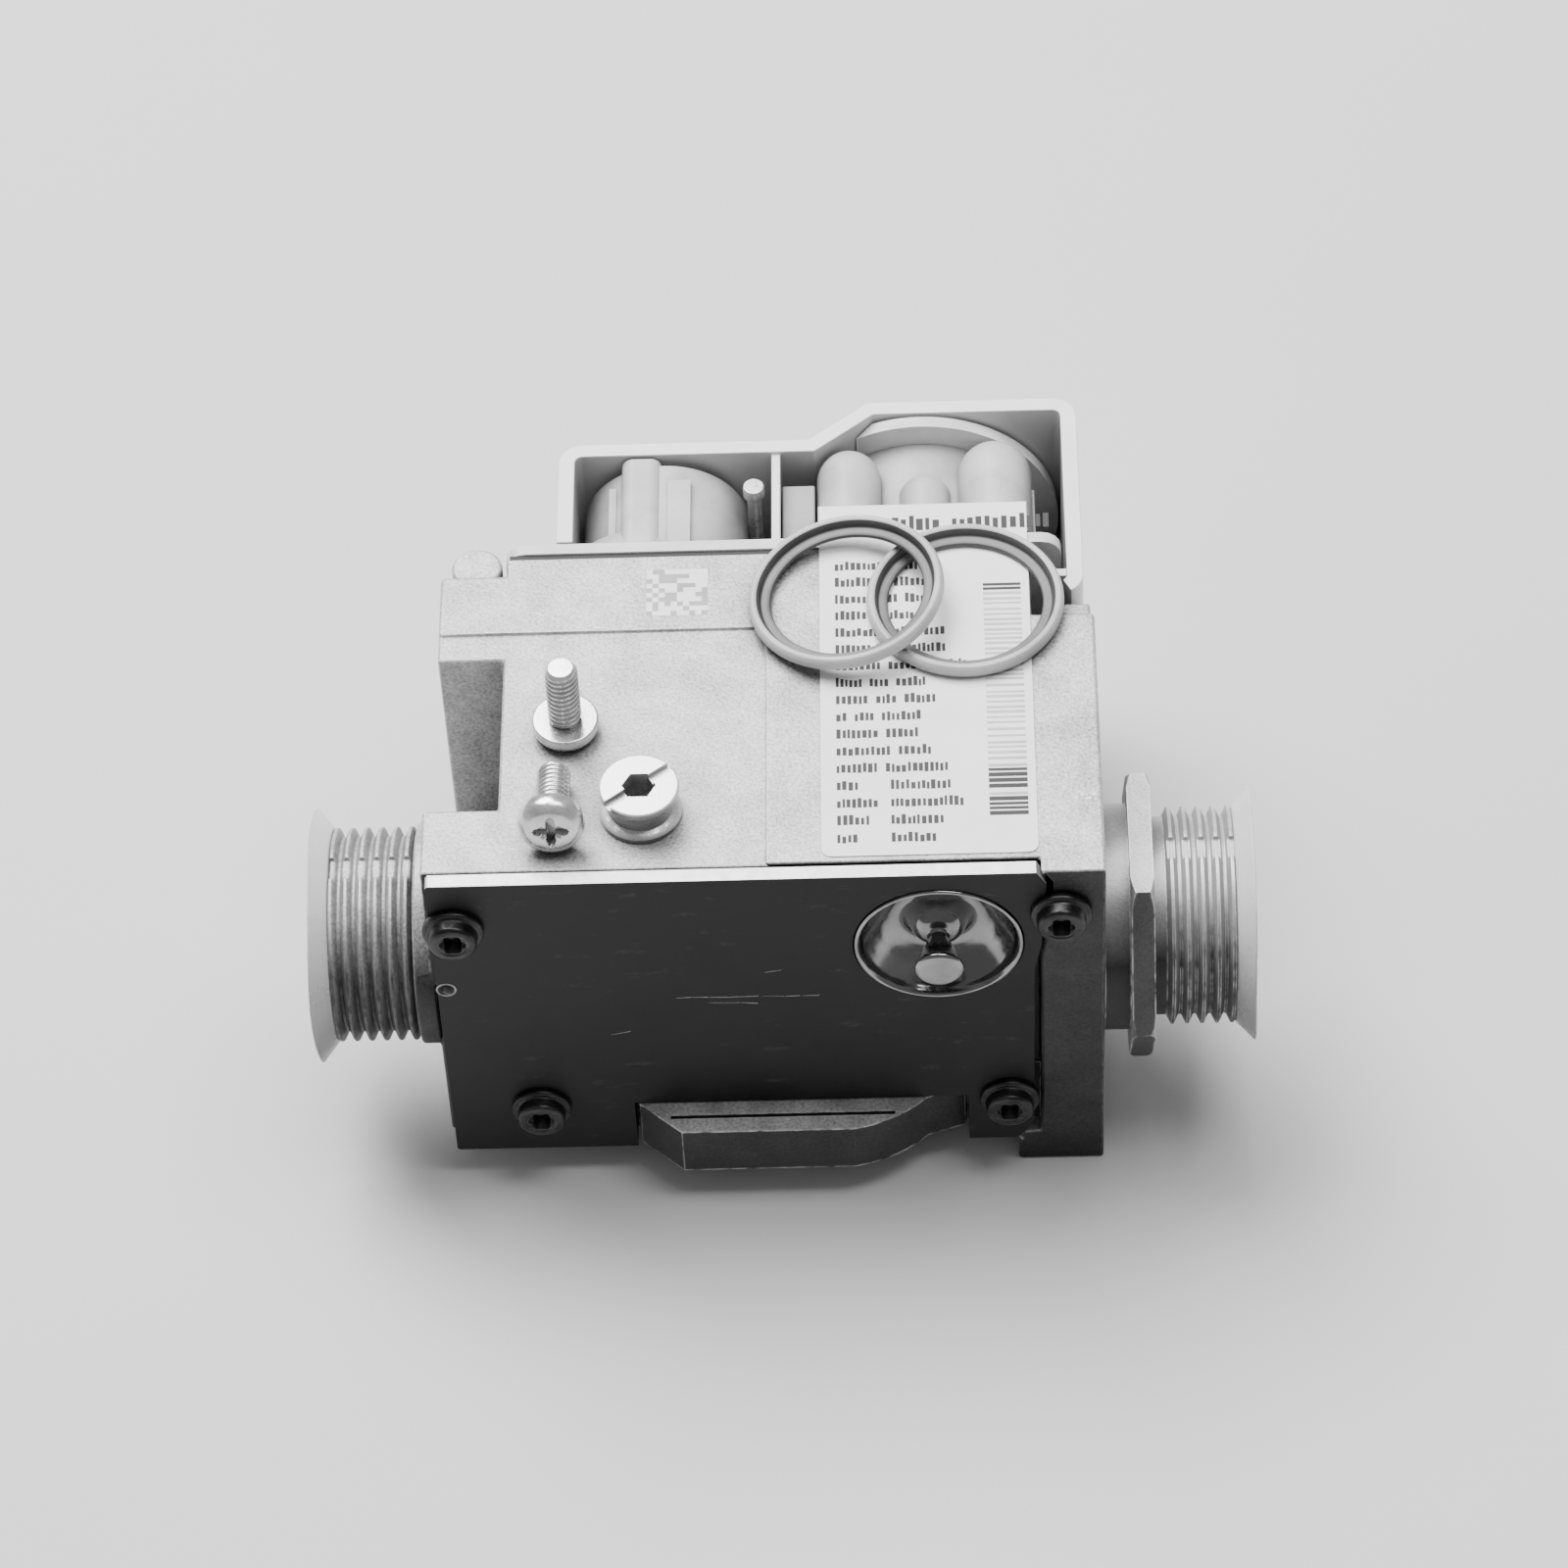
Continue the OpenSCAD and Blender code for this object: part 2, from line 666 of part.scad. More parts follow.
// Space inside the plastic cover, shrunk by a margin and extruded through the model's height
function slope_shift(inset) = 0.354 * inset;
function tub_outline(inset, corner) = concat(
    [[tub_left + inset, tub_front]],
    arc([tub_left + inset + corner, tub_back - inset - corner], corner, 180, 90, 6),
    [[slope_near_x + slope_shift(inset), tub_back - inset],
        [slope_far_x + slope_shift(inset), tub_far - inset]],
    arc([tub_right - inset - corner, tub_far - inset - corner], corner, 90, 0, 6),
    [[tub_right - inset, tub_front]]);

module tub_room(margin) {
    linear_extrude(top_z + 5) polygon(tub_outline(cover_wall + margin, 1));
}

// Rounded lobe along +Y with a domed end
module lobe(x, r, end_y, drop) {
    bar_y(x, top_z - drop - r, r, coil_y, end_y - r);
    translate([x, end_y - r, top_z - drop - r]) sphere(r = r);
}

module coil_1() {
    color("gray") difference() {
        intersection() {
            union() {
                bar_y(ev1_x, ev1_z, coil1_r, coil_y, coil1_end);
                lobe(9, 4, 56.2, 0.1);
                lobe(27.1, 4.6, 57.6, 0.1);
                lobe(18.4, 3.3, 52.6, 1.4);
                box([5.2, coil_y, ev1_z + 8], [30.9, 44.5, top_z]);
                box([5.4, coil_y, ev1_z + 4], [12.6, 51, top_z - 4]);
                box([23.2, coil_y, ev1_z + 4], [32, 51, top_z - 5]);
            }
            tub_room(0.3);
        }
        bar_y(ev1_x, ev1_z, ev1_tube_r + 0.05, 30, 70);
    }
}

// Steel end plate of the large coil
module coil_1_yoke() {
    color("silver") intersection() {
        bar_y(ev1_x, ev1_z, 17.2, coil1_end + 0.05, coil1_end + 1.7);
        tub_room(0.2);
    }
}

// Bar along +Y with both top edges rounded
module wide_rib(left, right, start, end, low, top) {
    round_r = 1.5;
    box([left, start, low], [right, end, top - round_r]);
    hull() for (x = [left + round_r, right - round_r])
        bar_y(x, top - round_r, round_r, start, end);
}

// Small coil: a bobbin with a wide rib, two narrow ones and a flared skirt at the plate
module coil_2() {
    rib_foot = ev2_z + 7.5;
    rib_end = coil2_end - 0.6;
    skirt_x = ev2_x - 2.6;
    color("darkgray") difference() {
        intersection() {
            union() {
                bar_y(ev2_x, ev2_z, coil2_r, coil_y, coil2_end);
                wide_rib(-19.2, -14.2, coil_y, rib_end, rib_foot, ev2_z + 10.9);
                wide_rib(-19.2, -14.2, rib_end - 0.01, 54.2, ev2_z + 8.8, ev2_z + 10.9);
                box([-20.8, coil_y, rib_foot - 1.5], [-19.9, rib_end - 1.5, ev2_z + 8.6]);
                box([-13.4, coil_y, rib_foot], [-10.6, rib_end - 2, ev2_z + 10.5]);
                along_y(skirt_x, coil_y, ev2_z) cylinder(r1 = 11, r2 = 10, h = 3);
            }
            tub_room(0.3);
        }
        bar_y(ev2_x, ev2_z, ev2_tube_r + 0.05, 30, 70);
    }
}

module coil_2_clip() {
    color("silver") bar_y(ev2_x, ev2_z, 7.6, coil2_end + 0.05, coil2_end + 0.8);
}

module coil_cover() {
    hook_centre = [tub_right - 3, tub_right_front];
    color("white") {
        difference() {
            translate([0, 0, tub_floor]) linear_extrude(top_z - tub_floor) polygon(tub_outline(0, 3));
            translate([0, 0, tub_floor + 2]) linear_extrude(60) polygon(concat(
                [[tub_left + cover_wall, tub_front - 1]],
                tub_outline(cover_wall, 1),
                [[tub_right - cover_wall, tub_front - 1]]));
        }
        box([tub_right - cover_wall, tub_right_front, tub_floor], [tub_right, tub_front + 0.01, top_z]);
        translate([0, 0, tub_floor]) linear_extrude(top_z - tub_floor) polygon(concat(
            arc(hook_centre, 3, 0, -62, 5), arc(hook_centre, 3 - cover_wall, -62, 0, 4)));
        box([-0.55, tub_front, tub_floor + 1], [0.55, 54.5, top_z - 0.5]);
        box([33.7, tub_right_front, tub_floor + 20], [tub_right - cover_wall + 0.01, 33.6, top_z - 0.3]);
    }
}

// Connector block: a wide head on a narrower stem that is open below for the pins
module connector_block() {
    color("dimgray") difference() {
        union() {
            box([0.7, coil_y + 1, ev1_z + 6], [4.8, 50.6, top_z - 2.6]);
            box([0.7, coil_y + 1, axis_z + 4], [3.6, 50.6, ev1_z + 6.01]);
        }
        for (y = pin_at) box([1.5, y - 0.6, axis_z + 3], [3, y + 0.6, axis_z + 12]);
    }
}

module terminal_pins() {
    color("silver") for (y = pin_at) box([1.85, y - 0.3, axis_z + 3.2], [2.65, y + 0.3, axis_z + 12]);
}

module earth_screw() {
    color("silver") translate([-2.8, 49.6, 0]) {
        translate([0, 0, tub_floor + 2]) cylinder(r = 0.9, h = 33.4);
        translate([0, 0, tub_floor + 35.4]) cylinder(r = 1.35, h = 1.7);
    }
}

module label() {
    corner = 1.2;
    front = -11.3;
    outline = concat([[5.3, 44.4], [30.8, 44.4]],
        arc([30.8 - corner, front + corner], corner, 0, -90, 4),
        arc([5.3 + corner, front + corner], corner, -90, -180, 4));
    color("white") translate([0, 0, top_z]) linear_extrude(label_t) polygon(outline);
}

// ---- offset adjuster ----

sleeve_head_h = 5.1;
screw_low = low_top_z - 6.4;

// Slotted sleeve: a flange and a thin head joined by a narrower waist, on a hollow shank
module adjuster_sleeve() {
    shank_bottom = low_top_z - 8;
    color("whitesmoke") translate([adj_x, adj_y, 0]) difference() {
        union() {
            translate([0, 0, shank_bottom]) cylinder(r = adj_bore_r - 0.02, h = 9);
            translate([0, 0, low_top_z]) rotate_extrude() polygon([[0, 0], [4.9, 0], [4.9, 0.7],
                [4.6, 1], [3.9, 1.3], [4.1, sleeve_head_h - 1.7], [4.6, sleeve_head_h - 1],
                [4.75, sleeve_head_h - 0.8], [4.75, sleeve_head_h - 0.2],
                [4.55, sleeve_head_h], [0, sleeve_head_h]]);
        }
        translate([0, 0, shank_bottom - 1]) cylinder(r = 3.2, h = 10.4);
        translate([0, 0, shank_bottom]) cylinder(r = 2, h = 30, $fn = 6);
        rotate(38) box([-6, -0.6, low_top_z + sleeve_head_h - 0.7], [6, 0.6, top_z + 10]);
    }
}

module adjuster_screw() {
    color("goldenrod") translate([adj_x, adj_y, screw_low]) difference() {
        cylinder(r = 3.2 - run_gap, h = 4.4);
        translate([0, 0, 1.6]) cylinder(r = 1.3, h = 4, $fn = 6);
    }
}

module adjuster_spring_seat() {
    color("silver") translate([adj_x, adj_y, screw_low - 1.25]) cylinder(r = 2.9, h = 1.2);
}

module adjuster_spring() {
    foot = adj_floor + 1.3;
    color("lightgray") translate([adj_x, adj_y, foot])
        coil_spring(2.2, 0.25, screw_low - 1.25 - foot, 6);
}

module pilot_disc() {
    color("black") translate([adj_x, adj_y, adj_floor]) cylinder(r = 3.6, h = 1.3);
}

// ---- loose kit ----

// Sealing ring lying flat: a raised outer lip round a low inner flange
module sealing_ring() {
    outer = ring_d / 2;
    hole = ring_hole_d / 2;
    step = 0.9;
    color("lightgray") rotate_extrude() polygon([[hole, 0.3], [hole + 0.4, 0], [outer - 0.6, 0],
        [outer, 0.6], [outer, ring_t - 0.6], [outer - 0.35, ring_t], [outer - 0.85, ring_t],
        [outer - 1.25, ring_t - 0.5], [outer - 1.35, step], [hole + 0.35, step], [hole, step - 0.25]]);
}

module sealing_ring_left() {
    translate([ring_left_at[0] - ring_d / 2, ring_left_at[1], top_z + 0.02])
        rotate([0, -ring_tilt, 0]) translate([ring_d / 2, 0, 0]) sealing_ring();
}

module sealing_ring_right() {
    translate([ring_right_at[0], ring_right_at[1], top_z + label_t + 0.01]) sealing_ring();
}

module kit_screw_upright() {
    color("silver") translate([upright_at[0], upright_at[1], low_top_z + kit_head_h + 0.01])
        rotate([180, 0, 0]) pan_screw(kit_head_r, kit_head_h, kit_shank_r, kit_screw_l, 1.3);
}

module kit_screw_lying() {
    tilt = atan((kit_head_r - kit_shank_r) / kit_screw_l);
    color("silver") translate([lying_at[0], lying_at[1], low_top_z + kit_head_r * cos(tilt) + 0.02])
        rotate([90 - tilt, 0, 0]) pan_screw(kit_head_r, kit_head_h, kit_shank_r, kit_screw_l, 1.3);
}

// Push-in plug: thin cup in the bore and a flared rim outside the thread
module dust_plug() {
    cup_r = bore_r - run_gap;
    cup_depth = 8;
    color("ghostwhite") along_x(thread_end) rotate_extrude() polygon([[0, -cup_depth],
        [cup_r, -cup_depth], [cup_r, 0.03], [inlet_r, 0.03], [15.7, 2.4], [15.1, 2.6],
        [12.7, 0.9], [cup_r - 0.9, 0.9], [cup_r - 0.9, 0.8 - cup_depth], [0, 0.8 - cup_depth]]);
}

module inlet_dust_plug() {
    dust_plug();
}

module outlet_dust_plug() {
    mirror([1, 0, 0]) dust_plug();
}

valve_body();
outlet_side();
foot_column();
diaphragm_housing();
front_cover_plate();
front_gasket();
cover_screws();
flow_cap();
bottom_cover();
bottom_cover_screws();
main_diaphragm();
main_valve();
main_valve_seal();
main_spring();
inlet_adaptor();
adaptor_seal();
inlet_strainer();
coil_gasket();
coil_base_plate();
coil_plate_screws();
core_tube_1();
pole_piece_1();
plunger_1();
shutter_1();
closing_spring_1();
coil_1();
coil_1_yoke();
core_tube_2();
pole_piece_2();
plunger_2();
shutter_2();
closing_spring_2();
coil_2();
coil_2_clip();
coil_cover();
connector_block();
terminal_pins();
earth_screw();
label();
adjuster_sleeve();
adjuster_screw();
adjuster_spring_seat();
adjuster_spring();
pilot_disc();
sealing_ring_left();
sealing_ring_right();
kit_screw_upright();
kit_screw_lying();
inlet_dust_plug();
outlet_dust_plug();
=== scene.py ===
"""Looks of the gas valve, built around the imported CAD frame. Metres, in the CAD's own frame."""
import json
import math
import random

import bmesh
import bpy
from mathutils import Matrix, Vector


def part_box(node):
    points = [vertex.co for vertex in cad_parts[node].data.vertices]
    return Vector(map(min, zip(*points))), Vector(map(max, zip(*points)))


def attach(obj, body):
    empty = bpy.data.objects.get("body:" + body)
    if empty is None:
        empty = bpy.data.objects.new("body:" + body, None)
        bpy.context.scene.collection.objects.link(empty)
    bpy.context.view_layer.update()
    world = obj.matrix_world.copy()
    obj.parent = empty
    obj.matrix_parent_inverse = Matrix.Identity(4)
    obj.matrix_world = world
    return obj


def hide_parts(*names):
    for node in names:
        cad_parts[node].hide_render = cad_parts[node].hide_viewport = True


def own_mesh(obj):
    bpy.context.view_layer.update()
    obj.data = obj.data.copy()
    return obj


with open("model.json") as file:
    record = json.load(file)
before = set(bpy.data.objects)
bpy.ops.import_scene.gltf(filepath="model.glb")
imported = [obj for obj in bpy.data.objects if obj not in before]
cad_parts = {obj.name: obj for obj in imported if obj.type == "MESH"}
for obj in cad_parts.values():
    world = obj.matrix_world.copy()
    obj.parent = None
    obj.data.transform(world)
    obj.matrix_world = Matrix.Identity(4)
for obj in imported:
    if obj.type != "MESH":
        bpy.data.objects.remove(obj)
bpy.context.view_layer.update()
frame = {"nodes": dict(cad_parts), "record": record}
nodes = frame["nodes"]
MM = 0.001


# ---- places, from the frame ----

def low(node):
    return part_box(node)[0]


def high(node):
    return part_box(node)[1]


def middle(node):
    return (low(node) + high(node)) / 2


AXIS = Vector((0, 0, middle("inlet_adaptor").z))
LABEL_TOP = high("label").z
BODIES = frame["record"]["behaviour"]["bodies"]
BODY_OF = {node: body for body, members in BODIES.items() for node in members}
SLOT_OF = {row["node"]: row["material_slot"] for row in frame["record"]["subparts"]}


# ---- node materials ----

MIX_A, MIX_B, MIX_OUT = 6, 7, 2         # colour sockets of a Mix node
TRACE_SAMPLES = 6                       # rays for each edge or hollow test
NOISE_CORE = (0.35, 0.65)               # noise values that take in most of a surface
NOISE_SPAN = (0.3, 0.7)                 # noise values that take in nearly all of it
EDGE_TURN = (0.99, 0.80)                # cosine of a rounded normal's turn, from flat to a fully lightened edge
EDGE_REACH = 0.4 * MM
EDGE_PATCH, EDGE_PATCH_BAND = 1.6 * MM, (0.36, 0.58)
SPECK_SIZE, SPECK_BAND = 1.1 * MM, (0.62, 0.72)
SMEAR_SIZE, SMEAR_BAND = 3 * MM, (0.52, 0.75)
CLOUD_SIZE = 6 * MM                     # of plastic, paper and rubber
HOLLOW_TO_OPEN = (0.25, 0.95)           # open share of the sky, from full painted shade to none
FORWARD_AND_DOWN = (0, -0.88, -0.47)    # where the faces with the painted shade look
FULL_SHADE_COSINE = 0.6                        # cosine to that direction where the painted shade is darkest
SHADE_FADE = (-9 * MM, -1 * MM)          # Y over which the painted shade ends behind the front


class Surface:
    """A node material in the making: one principled shader and short ways to feed it."""

    def __init__(self, name):
        self.material = bpy.data.materials.new(name)
        self.material.use_nodes = True
        self.tree = self.material.node_tree
        self.shader = self.tree.nodes["Principled BSDF"]
        coords = self.tree.nodes.new("ShaderNodeTexCoord")
        self.coords = coords.outputs["Object"]
        self.facing = coords.outputs["Normal"]

    def node(self, kind, **settings):
        made = self.tree.nodes.new(kind)
        for key, value in settings.items():
            setattr(made, key, value)
        return made

    def feed(self, socket, value):
        if isinstance(value, bpy.types.NodeSocket):
            self.tree.links.new(value, socket)
        else:
            socket.default_value = value

    def put(self, name, value):
        self.feed(self.shader.inputs[name], value)

    def stretched(self, scale):
        """Object coordinates scaled per axis, for grain that runs one way."""
        mapping = self.node("ShaderNodeMapping")
        self.feed(mapping.inputs["Vector"], self.coords)
        mapping.inputs["Scale"].default_value = scale
        return mapping.outputs["Vector"]

    def noise(self, size, detail=3.0, rough=0.55, stretch=None):
        """Noise whose features are about size metres across."""
        made = self.node("ShaderNodeTexNoise")
        made.inputs["Scale"].default_value = 1 / size
        made.inputs["Detail"].default_value = detail
        made.inputs["Roughness"].default_value = rough
        self.feed(made.inputs["Vector"], self.stretched(stretch) if stretch else self.coords)
        return made.outputs["Fac"]

    def ramp(self, value, start, end, out_start=0.0, out_end=1.0):
        """value mapped from start..end to out_start..out_end, and held there outside it."""
        made = self.node("ShaderNodeMapRange")
        self.feed(made.inputs["Value"], value)
        for key, number in (("From Min", start), ("From Max", end),
                            ("To Min", out_start), ("To Max", out_end)):
            made.inputs[key].default_value = number
        return made.outputs["Result"]

    def math(self, operation, first, second=0.5):
        made = self.node("ShaderNodeMath", operation=operation)
        self.feed(made.inputs[0], first)
        self.feed(made.inputs[1], second)
        return made.outputs[0]

    def mix(self, amount, first, second):
        """Two grey levels or colours mixed by amount."""
        made = self.node("ShaderNodeMix", data_type="RGBA")
        self.feed(made.inputs["Factor"], amount)
        for index, colour in ((MIX_A, first), (MIX_B, second)):
            level = isinstance(colour, (int, float))
            self.feed(made.inputs[index], tone(colour) if level else colour)
        return made.outputs[MIX_OUT]

    def bump(self, height, depth, strength=1.0, under=None):
        made = self.node("ShaderNodeBump")
        made.inputs["Strength"].default_value = strength
        made.inputs["Distance"].default_value = depth
        self.feed(made.inputs["Height"], height)
        if under is not None:
            self.feed(made.inputs["Normal"], under)
        return made.outputs["Normal"]

    def worn_and_lit_edges(self, reach):
        """About 1 on sharp edges within reach metres, and 0 on flat faces: where edges are
        lightened, by wear and by a painted highlight.
        """
        rounded = self.node("ShaderNodeBevel", samples=TRACE_SAMPLES)
        rounded.inputs["Radius"].default_value = reach
        flat = self.node("ShaderNodeNewGeometry")
        return self.ramp(self.dot(rounded.outputs["Normal"], flat.outputs["Normal"]), *EDGE_TURN)

    def dot(self, first, second):
        made = self.node("ShaderNodeVectorMath", operation="DOT_PRODUCT")
        self.feed(made.inputs[0], first)
        self.feed(made.inputs[1], second)
        return made.outputs["Value"]

    def times(self, colour, amount):
        """A colour darkened by a grey amount."""
        made = self.node("ShaderNodeMix", data_type="RGBA", blend_type="MULTIPLY")
        made.inputs["Factor"].default_value = 1
        self.feed(made.inputs[MIX_A], colour)
        self.feed(made.inputs[MIX_B], amount)
        return made.outputs[MIX_OUT]

    def painted_front_shade(self, colour, floor):
        """Paints shade on the front of the object, where faces look forward or down: the colour
        goes darker towards floor, and the gloss down to half."""
        kept = self.ramp(self.dot(self.facing, FORWARD_AND_DOWN), 0.0, FULL_SHADE_COSINE, 1.0, floor)
        behind = self.ramp(self.dot(self.coords, (0, 1, 0)), *SHADE_FADE)
        kept = self.math("MAXIMUM", kept, behind)
        gloss = self.ramp(kept, floor, 1.0, 0.5, 1.0)
        self.put("Specular IOR Level", self.math("MULTIPLY", gloss, 0.5))
        return self.times(colour, kept)

    def painted_hollow_shade(self, colour, reach, floor):
        """Paints shade into hollows that are closed in within reach metres, down to floor at most.
        """
        shade = self.node("ShaderNodeAmbientOcclusion", samples=TRACE_SAMPLES)
        shade.inputs["Distance"].default_value = reach
        return self.times(colour, self.ramp(shade.outputs["AO"], *HOLLOW_TO_OPEN, floor, 1.0))


def tone(level):
    """A grey level as RGBA."""
    return (level, level, level, 1)


def metal(name, dark, light, rough, metallic=0.9, grain=0.25, grain_depth=0.02, blotch=9,
          edge=None, brushed=None, specks=0.0, mottle=0.0, front_shade=None, hollow_shade=None, reach=4):
    """Metal with cloudy tone, uneven gloss and a fine grain; sizes in millimetres. Where asked:
    edges lighter from wear and from a painted highlight, dark specks, a mottle at the size of the
    grain, painted shade on faces that look forward, and painted shade in the hollows."""
    s = Surface(name)
    clouds = s.noise(blotch * MM, detail=4)
    fine = s.noise(grain * MM, detail=2, stretch=brushed)
    colour = s.mix(s.ramp(clouds, *NOISE_CORE), dark, light)
    if specks:
        spots = s.ramp(s.noise(SPECK_SIZE, detail=5, rough=0.7), *SPECK_BAND)
        colour = s.mix(s.math("MULTIPLY", spots, specks), colour, dark * 0.6)
    if mottle:
        colour = s.times(colour, s.ramp(fine, *NOISE_SPAN, 1 - mottle, 1.0))
    # painted shade on faces that look forward or down, at the front
    if front_shade is not None:
        colour = s.painted_front_shade(colour, front_shade)
    # edges lightened in patches: partly wear, partly a painted highlight
    if edge is not None:
        edge_mark = s.worn_and_lit_edges(EDGE_REACH)
        patches = s.ramp(s.noise(EDGE_PATCH, detail=4), *EDGE_PATCH_BAND)
        colour = s.mix(s.math("MULTIPLY", edge_mark, patches), colour, edge)
    # painted shade in the hollows
    if hollow_shade is not None:
        colour = s.painted_hollow_shade(colour, reach * MM, hollow_shade)
    s.put("Base Color", colour)
    s.put("Metallic", metallic)
    uneven = s.ramp(clouds, *NOISE_SPAN, -0.06, 0.06)
    s.put("Roughness", s.math("ADD", uneven, s.ramp(fine, *NOISE_SPAN, rough - 0.05, rough + 0.05)))
    waves = s.bump(clouds, grain_depth * 3 * MM, 0.5)
    s.put("Normal", s.bump(fine, grain_depth * MM, 0.8, waves))
    return s.material


def plastic(name, dark, light, rough, grain=0.12, grain_depth=0.006, coat=0.0, dirt=0.0,
            clear=0.0, front_shade=None, hollow_shade=None, reach=8):
    """Moulded plastic, paper or rubber: a faint cloud, a skin texture and, where asked, smears,
    painted shade on faces that look forward, and painted shade in the hollows; sizes in
    millimetres."""
    s = Surface(name)
    clouds = s.noise(CLOUD_SIZE, detail=4)
    skin = s.noise(grain * MM, detail=2)
    colour = s.mix(s.ramp(clouds, *NOISE_CORE), dark, light)
    if dirt:
        smears = s.ramp(s.noise(SMEAR_SIZE, detail=6, rough=0.65), *SMEAR_BAND)
        colour = s.mix(s.math("MULTIPLY", smears, dirt), colour, dark * 0.5)
    # painted shade on faces that look forward or down, at the front
    if front_shade is not None:
        colour = s.painted_front_shade(colour, front_shade)
    # painted shade in the hollows
    if hollow_shade is not None:
        colour = s.painted_hollow_shade(colour, reach * MM, hollow_shade)
    s.put("Base Color", colour)
    s.put("Roughness", s.ramp(clouds, *NOISE_SPAN, rough - 0.07, rough + 0.07))
    s.put("Coat Weight", coat)
    s.put("Transmission Weight", clear)
    s.put("Normal", s.bump(skin, grain_depth * MM, 0.7, s.bump(clouds, 0.03 * MM, 0.4)))
    return s.material


def scratched_plate(name):
    """Dark sheet: faint rolling lines, scuffs, matt stains and a bright edge on the faces that look
    up, partly bare shear-cut metal and partly a painted highlight.
    """
    s = Surface(name)
    clouds = s.noise(14 * MM, detail=5)
    rolled = s.noise(0.4 * MM, detail=3, stretch=(0.05, 1, 1))
    scuffs = s.noise(2.2 * MM, detail=7, rough=0.72, stretch=(0.35, 1, 1))
    scuffs = s.ramp(scuffs, 0.60, 0.74)
    colour = s.mix(s.ramp(clouds, 0.32, 0.68), 0.006, 0.017)
    colour = s.mix(s.math("MULTIPLY", scuffs, 0.5), colour, 0.08)
    # faces that look up get a bright colour: bare shear-cut metal, and a painted highlight of the
    # light from above
    sheared_and_lit = s.ramp(s.dot(s.facing, (0, 0, 1)), 0.35, 0.75)
    bright = s.mix(s.ramp(s.noise(1.5 * MM, detail=4), *NOISE_SPAN), 0.72, 0.92)
    s.put("Base Color", s.mix(sheared_and_lit, colour, bright))
    s.put("Metallic", s.ramp(sheared_and_lit, 0, 1, 0.2, 0.5))
    s.put("Specular IOR Level", 0.25)
    stained = s.ramp(clouds, *NOISE_SPAN, 0.40, 0.56)
    s.put("Roughness", s.math("ADD", stained, s.math("MULTIPLY", scuffs, 0.12)))
    s.put("Normal", s.bump(rolled, 0.008 * MM, 0.6, s.bump(clouds, 0.1 * MM, 0.35)))
    return s.material


# the settings below for forward faces and for hollows are painted shade; the edge setting lightens
# edges, partly wear and partly painted highlight
METALS = {
    "cast_aluminium": dict(dark=0.52, light=0.76, rough=0.46, metallic=0.3, grain=0.38,
                           grain_depth=0.07, blotch=5, edge=0.95, specks=0.35, mottle=0.5,
                           front_shade=0.075, hollow_shade=0.4, reach=8),
    "adaptor_aluminium": dict(dark=0.48, light=0.62, rough=0.40, metallic=0.4, grain=0.3,
                              grain_depth=0.03, edge=0.9, specks=0.2, mottle=0.25, front_shade=0.07,
                              hollow_shade=0.7),
    "dark_screw": dict(dark=0.02, light=0.05, rough=0.34, metallic=0.8, grain=0.2,
                       grain_depth=0.01, blotch=2, edge=0.28, hollow_shade=0.3),
    "polished_steel": dict(dark=0.20, light=0.30, rough=0.16, metallic=1.0, grain=0.5,
                           grain_depth=0.002, blotch=5, edge=0.95, hollow_shade=0.35),
    "turned_aluminium": dict(dark=0.6, light=0.75, rough=0.3, metallic=0.95, grain=0.2,
                             grain_depth=0.01, blotch=4),
    "zinc_screw": dict(dark=0.45, light=0.62, rough=0.32, metallic=0.95, grain=0.2,
                       grain_depth=0.01, blotch=2, edge=0.8),
    "kit_screw_zinc": dict(dark=0.62, light=0.82, rough=0.24, metallic=0.85, grain=0.25,
                           grain_depth=0.01, blotch=1.5, edge=0.9, hollow_shade=0.3),
    "spring_steel": dict(dark=0.3, light=0.45, rough=0.35, metallic=0.95, grain=0.2,
                         grain_depth=0.005, blotch=2),
    "strainer_steel": dict(dark=0.45, light=0.6, rough=0.3, metallic=0.95, grain=0.2,
                           grain_depth=0.005, blotch=2),
    "zinc_plate": dict(dark=0.62, light=0.76, rough=0.5, metallic=0.05, grain=0.4,
                       grain_depth=0.02, blotch=5, edge=0.9, brushed=(0.1, 1, 1)),
    "tube_brass": dict(dark=0.35, light=0.5, rough=0.3, metallic=0.95, grain=0.2,
                       grain_depth=0.008, blotch=3),
    "core_steel": dict(dark=0.3, light=0.42, rough=0.3, metallic=0.95, grain=0.2,
                       grain_depth=0.008, blotch=3),
    "tinned_pin": dict(dark=0.6, light=0.75, rough=0.25, metallic=1.0, grain=0.2,
                       grain_depth=0.005, blotch=2),
    "adjuster_metal": dict(dark=0.85, light=0.95, rough=0.3, metallic=0.5, grain=0.2,
                           grain_depth=0.006, blotch=2, edge=0.95, front_shade=0.3, hollow_shade=0.2),
}
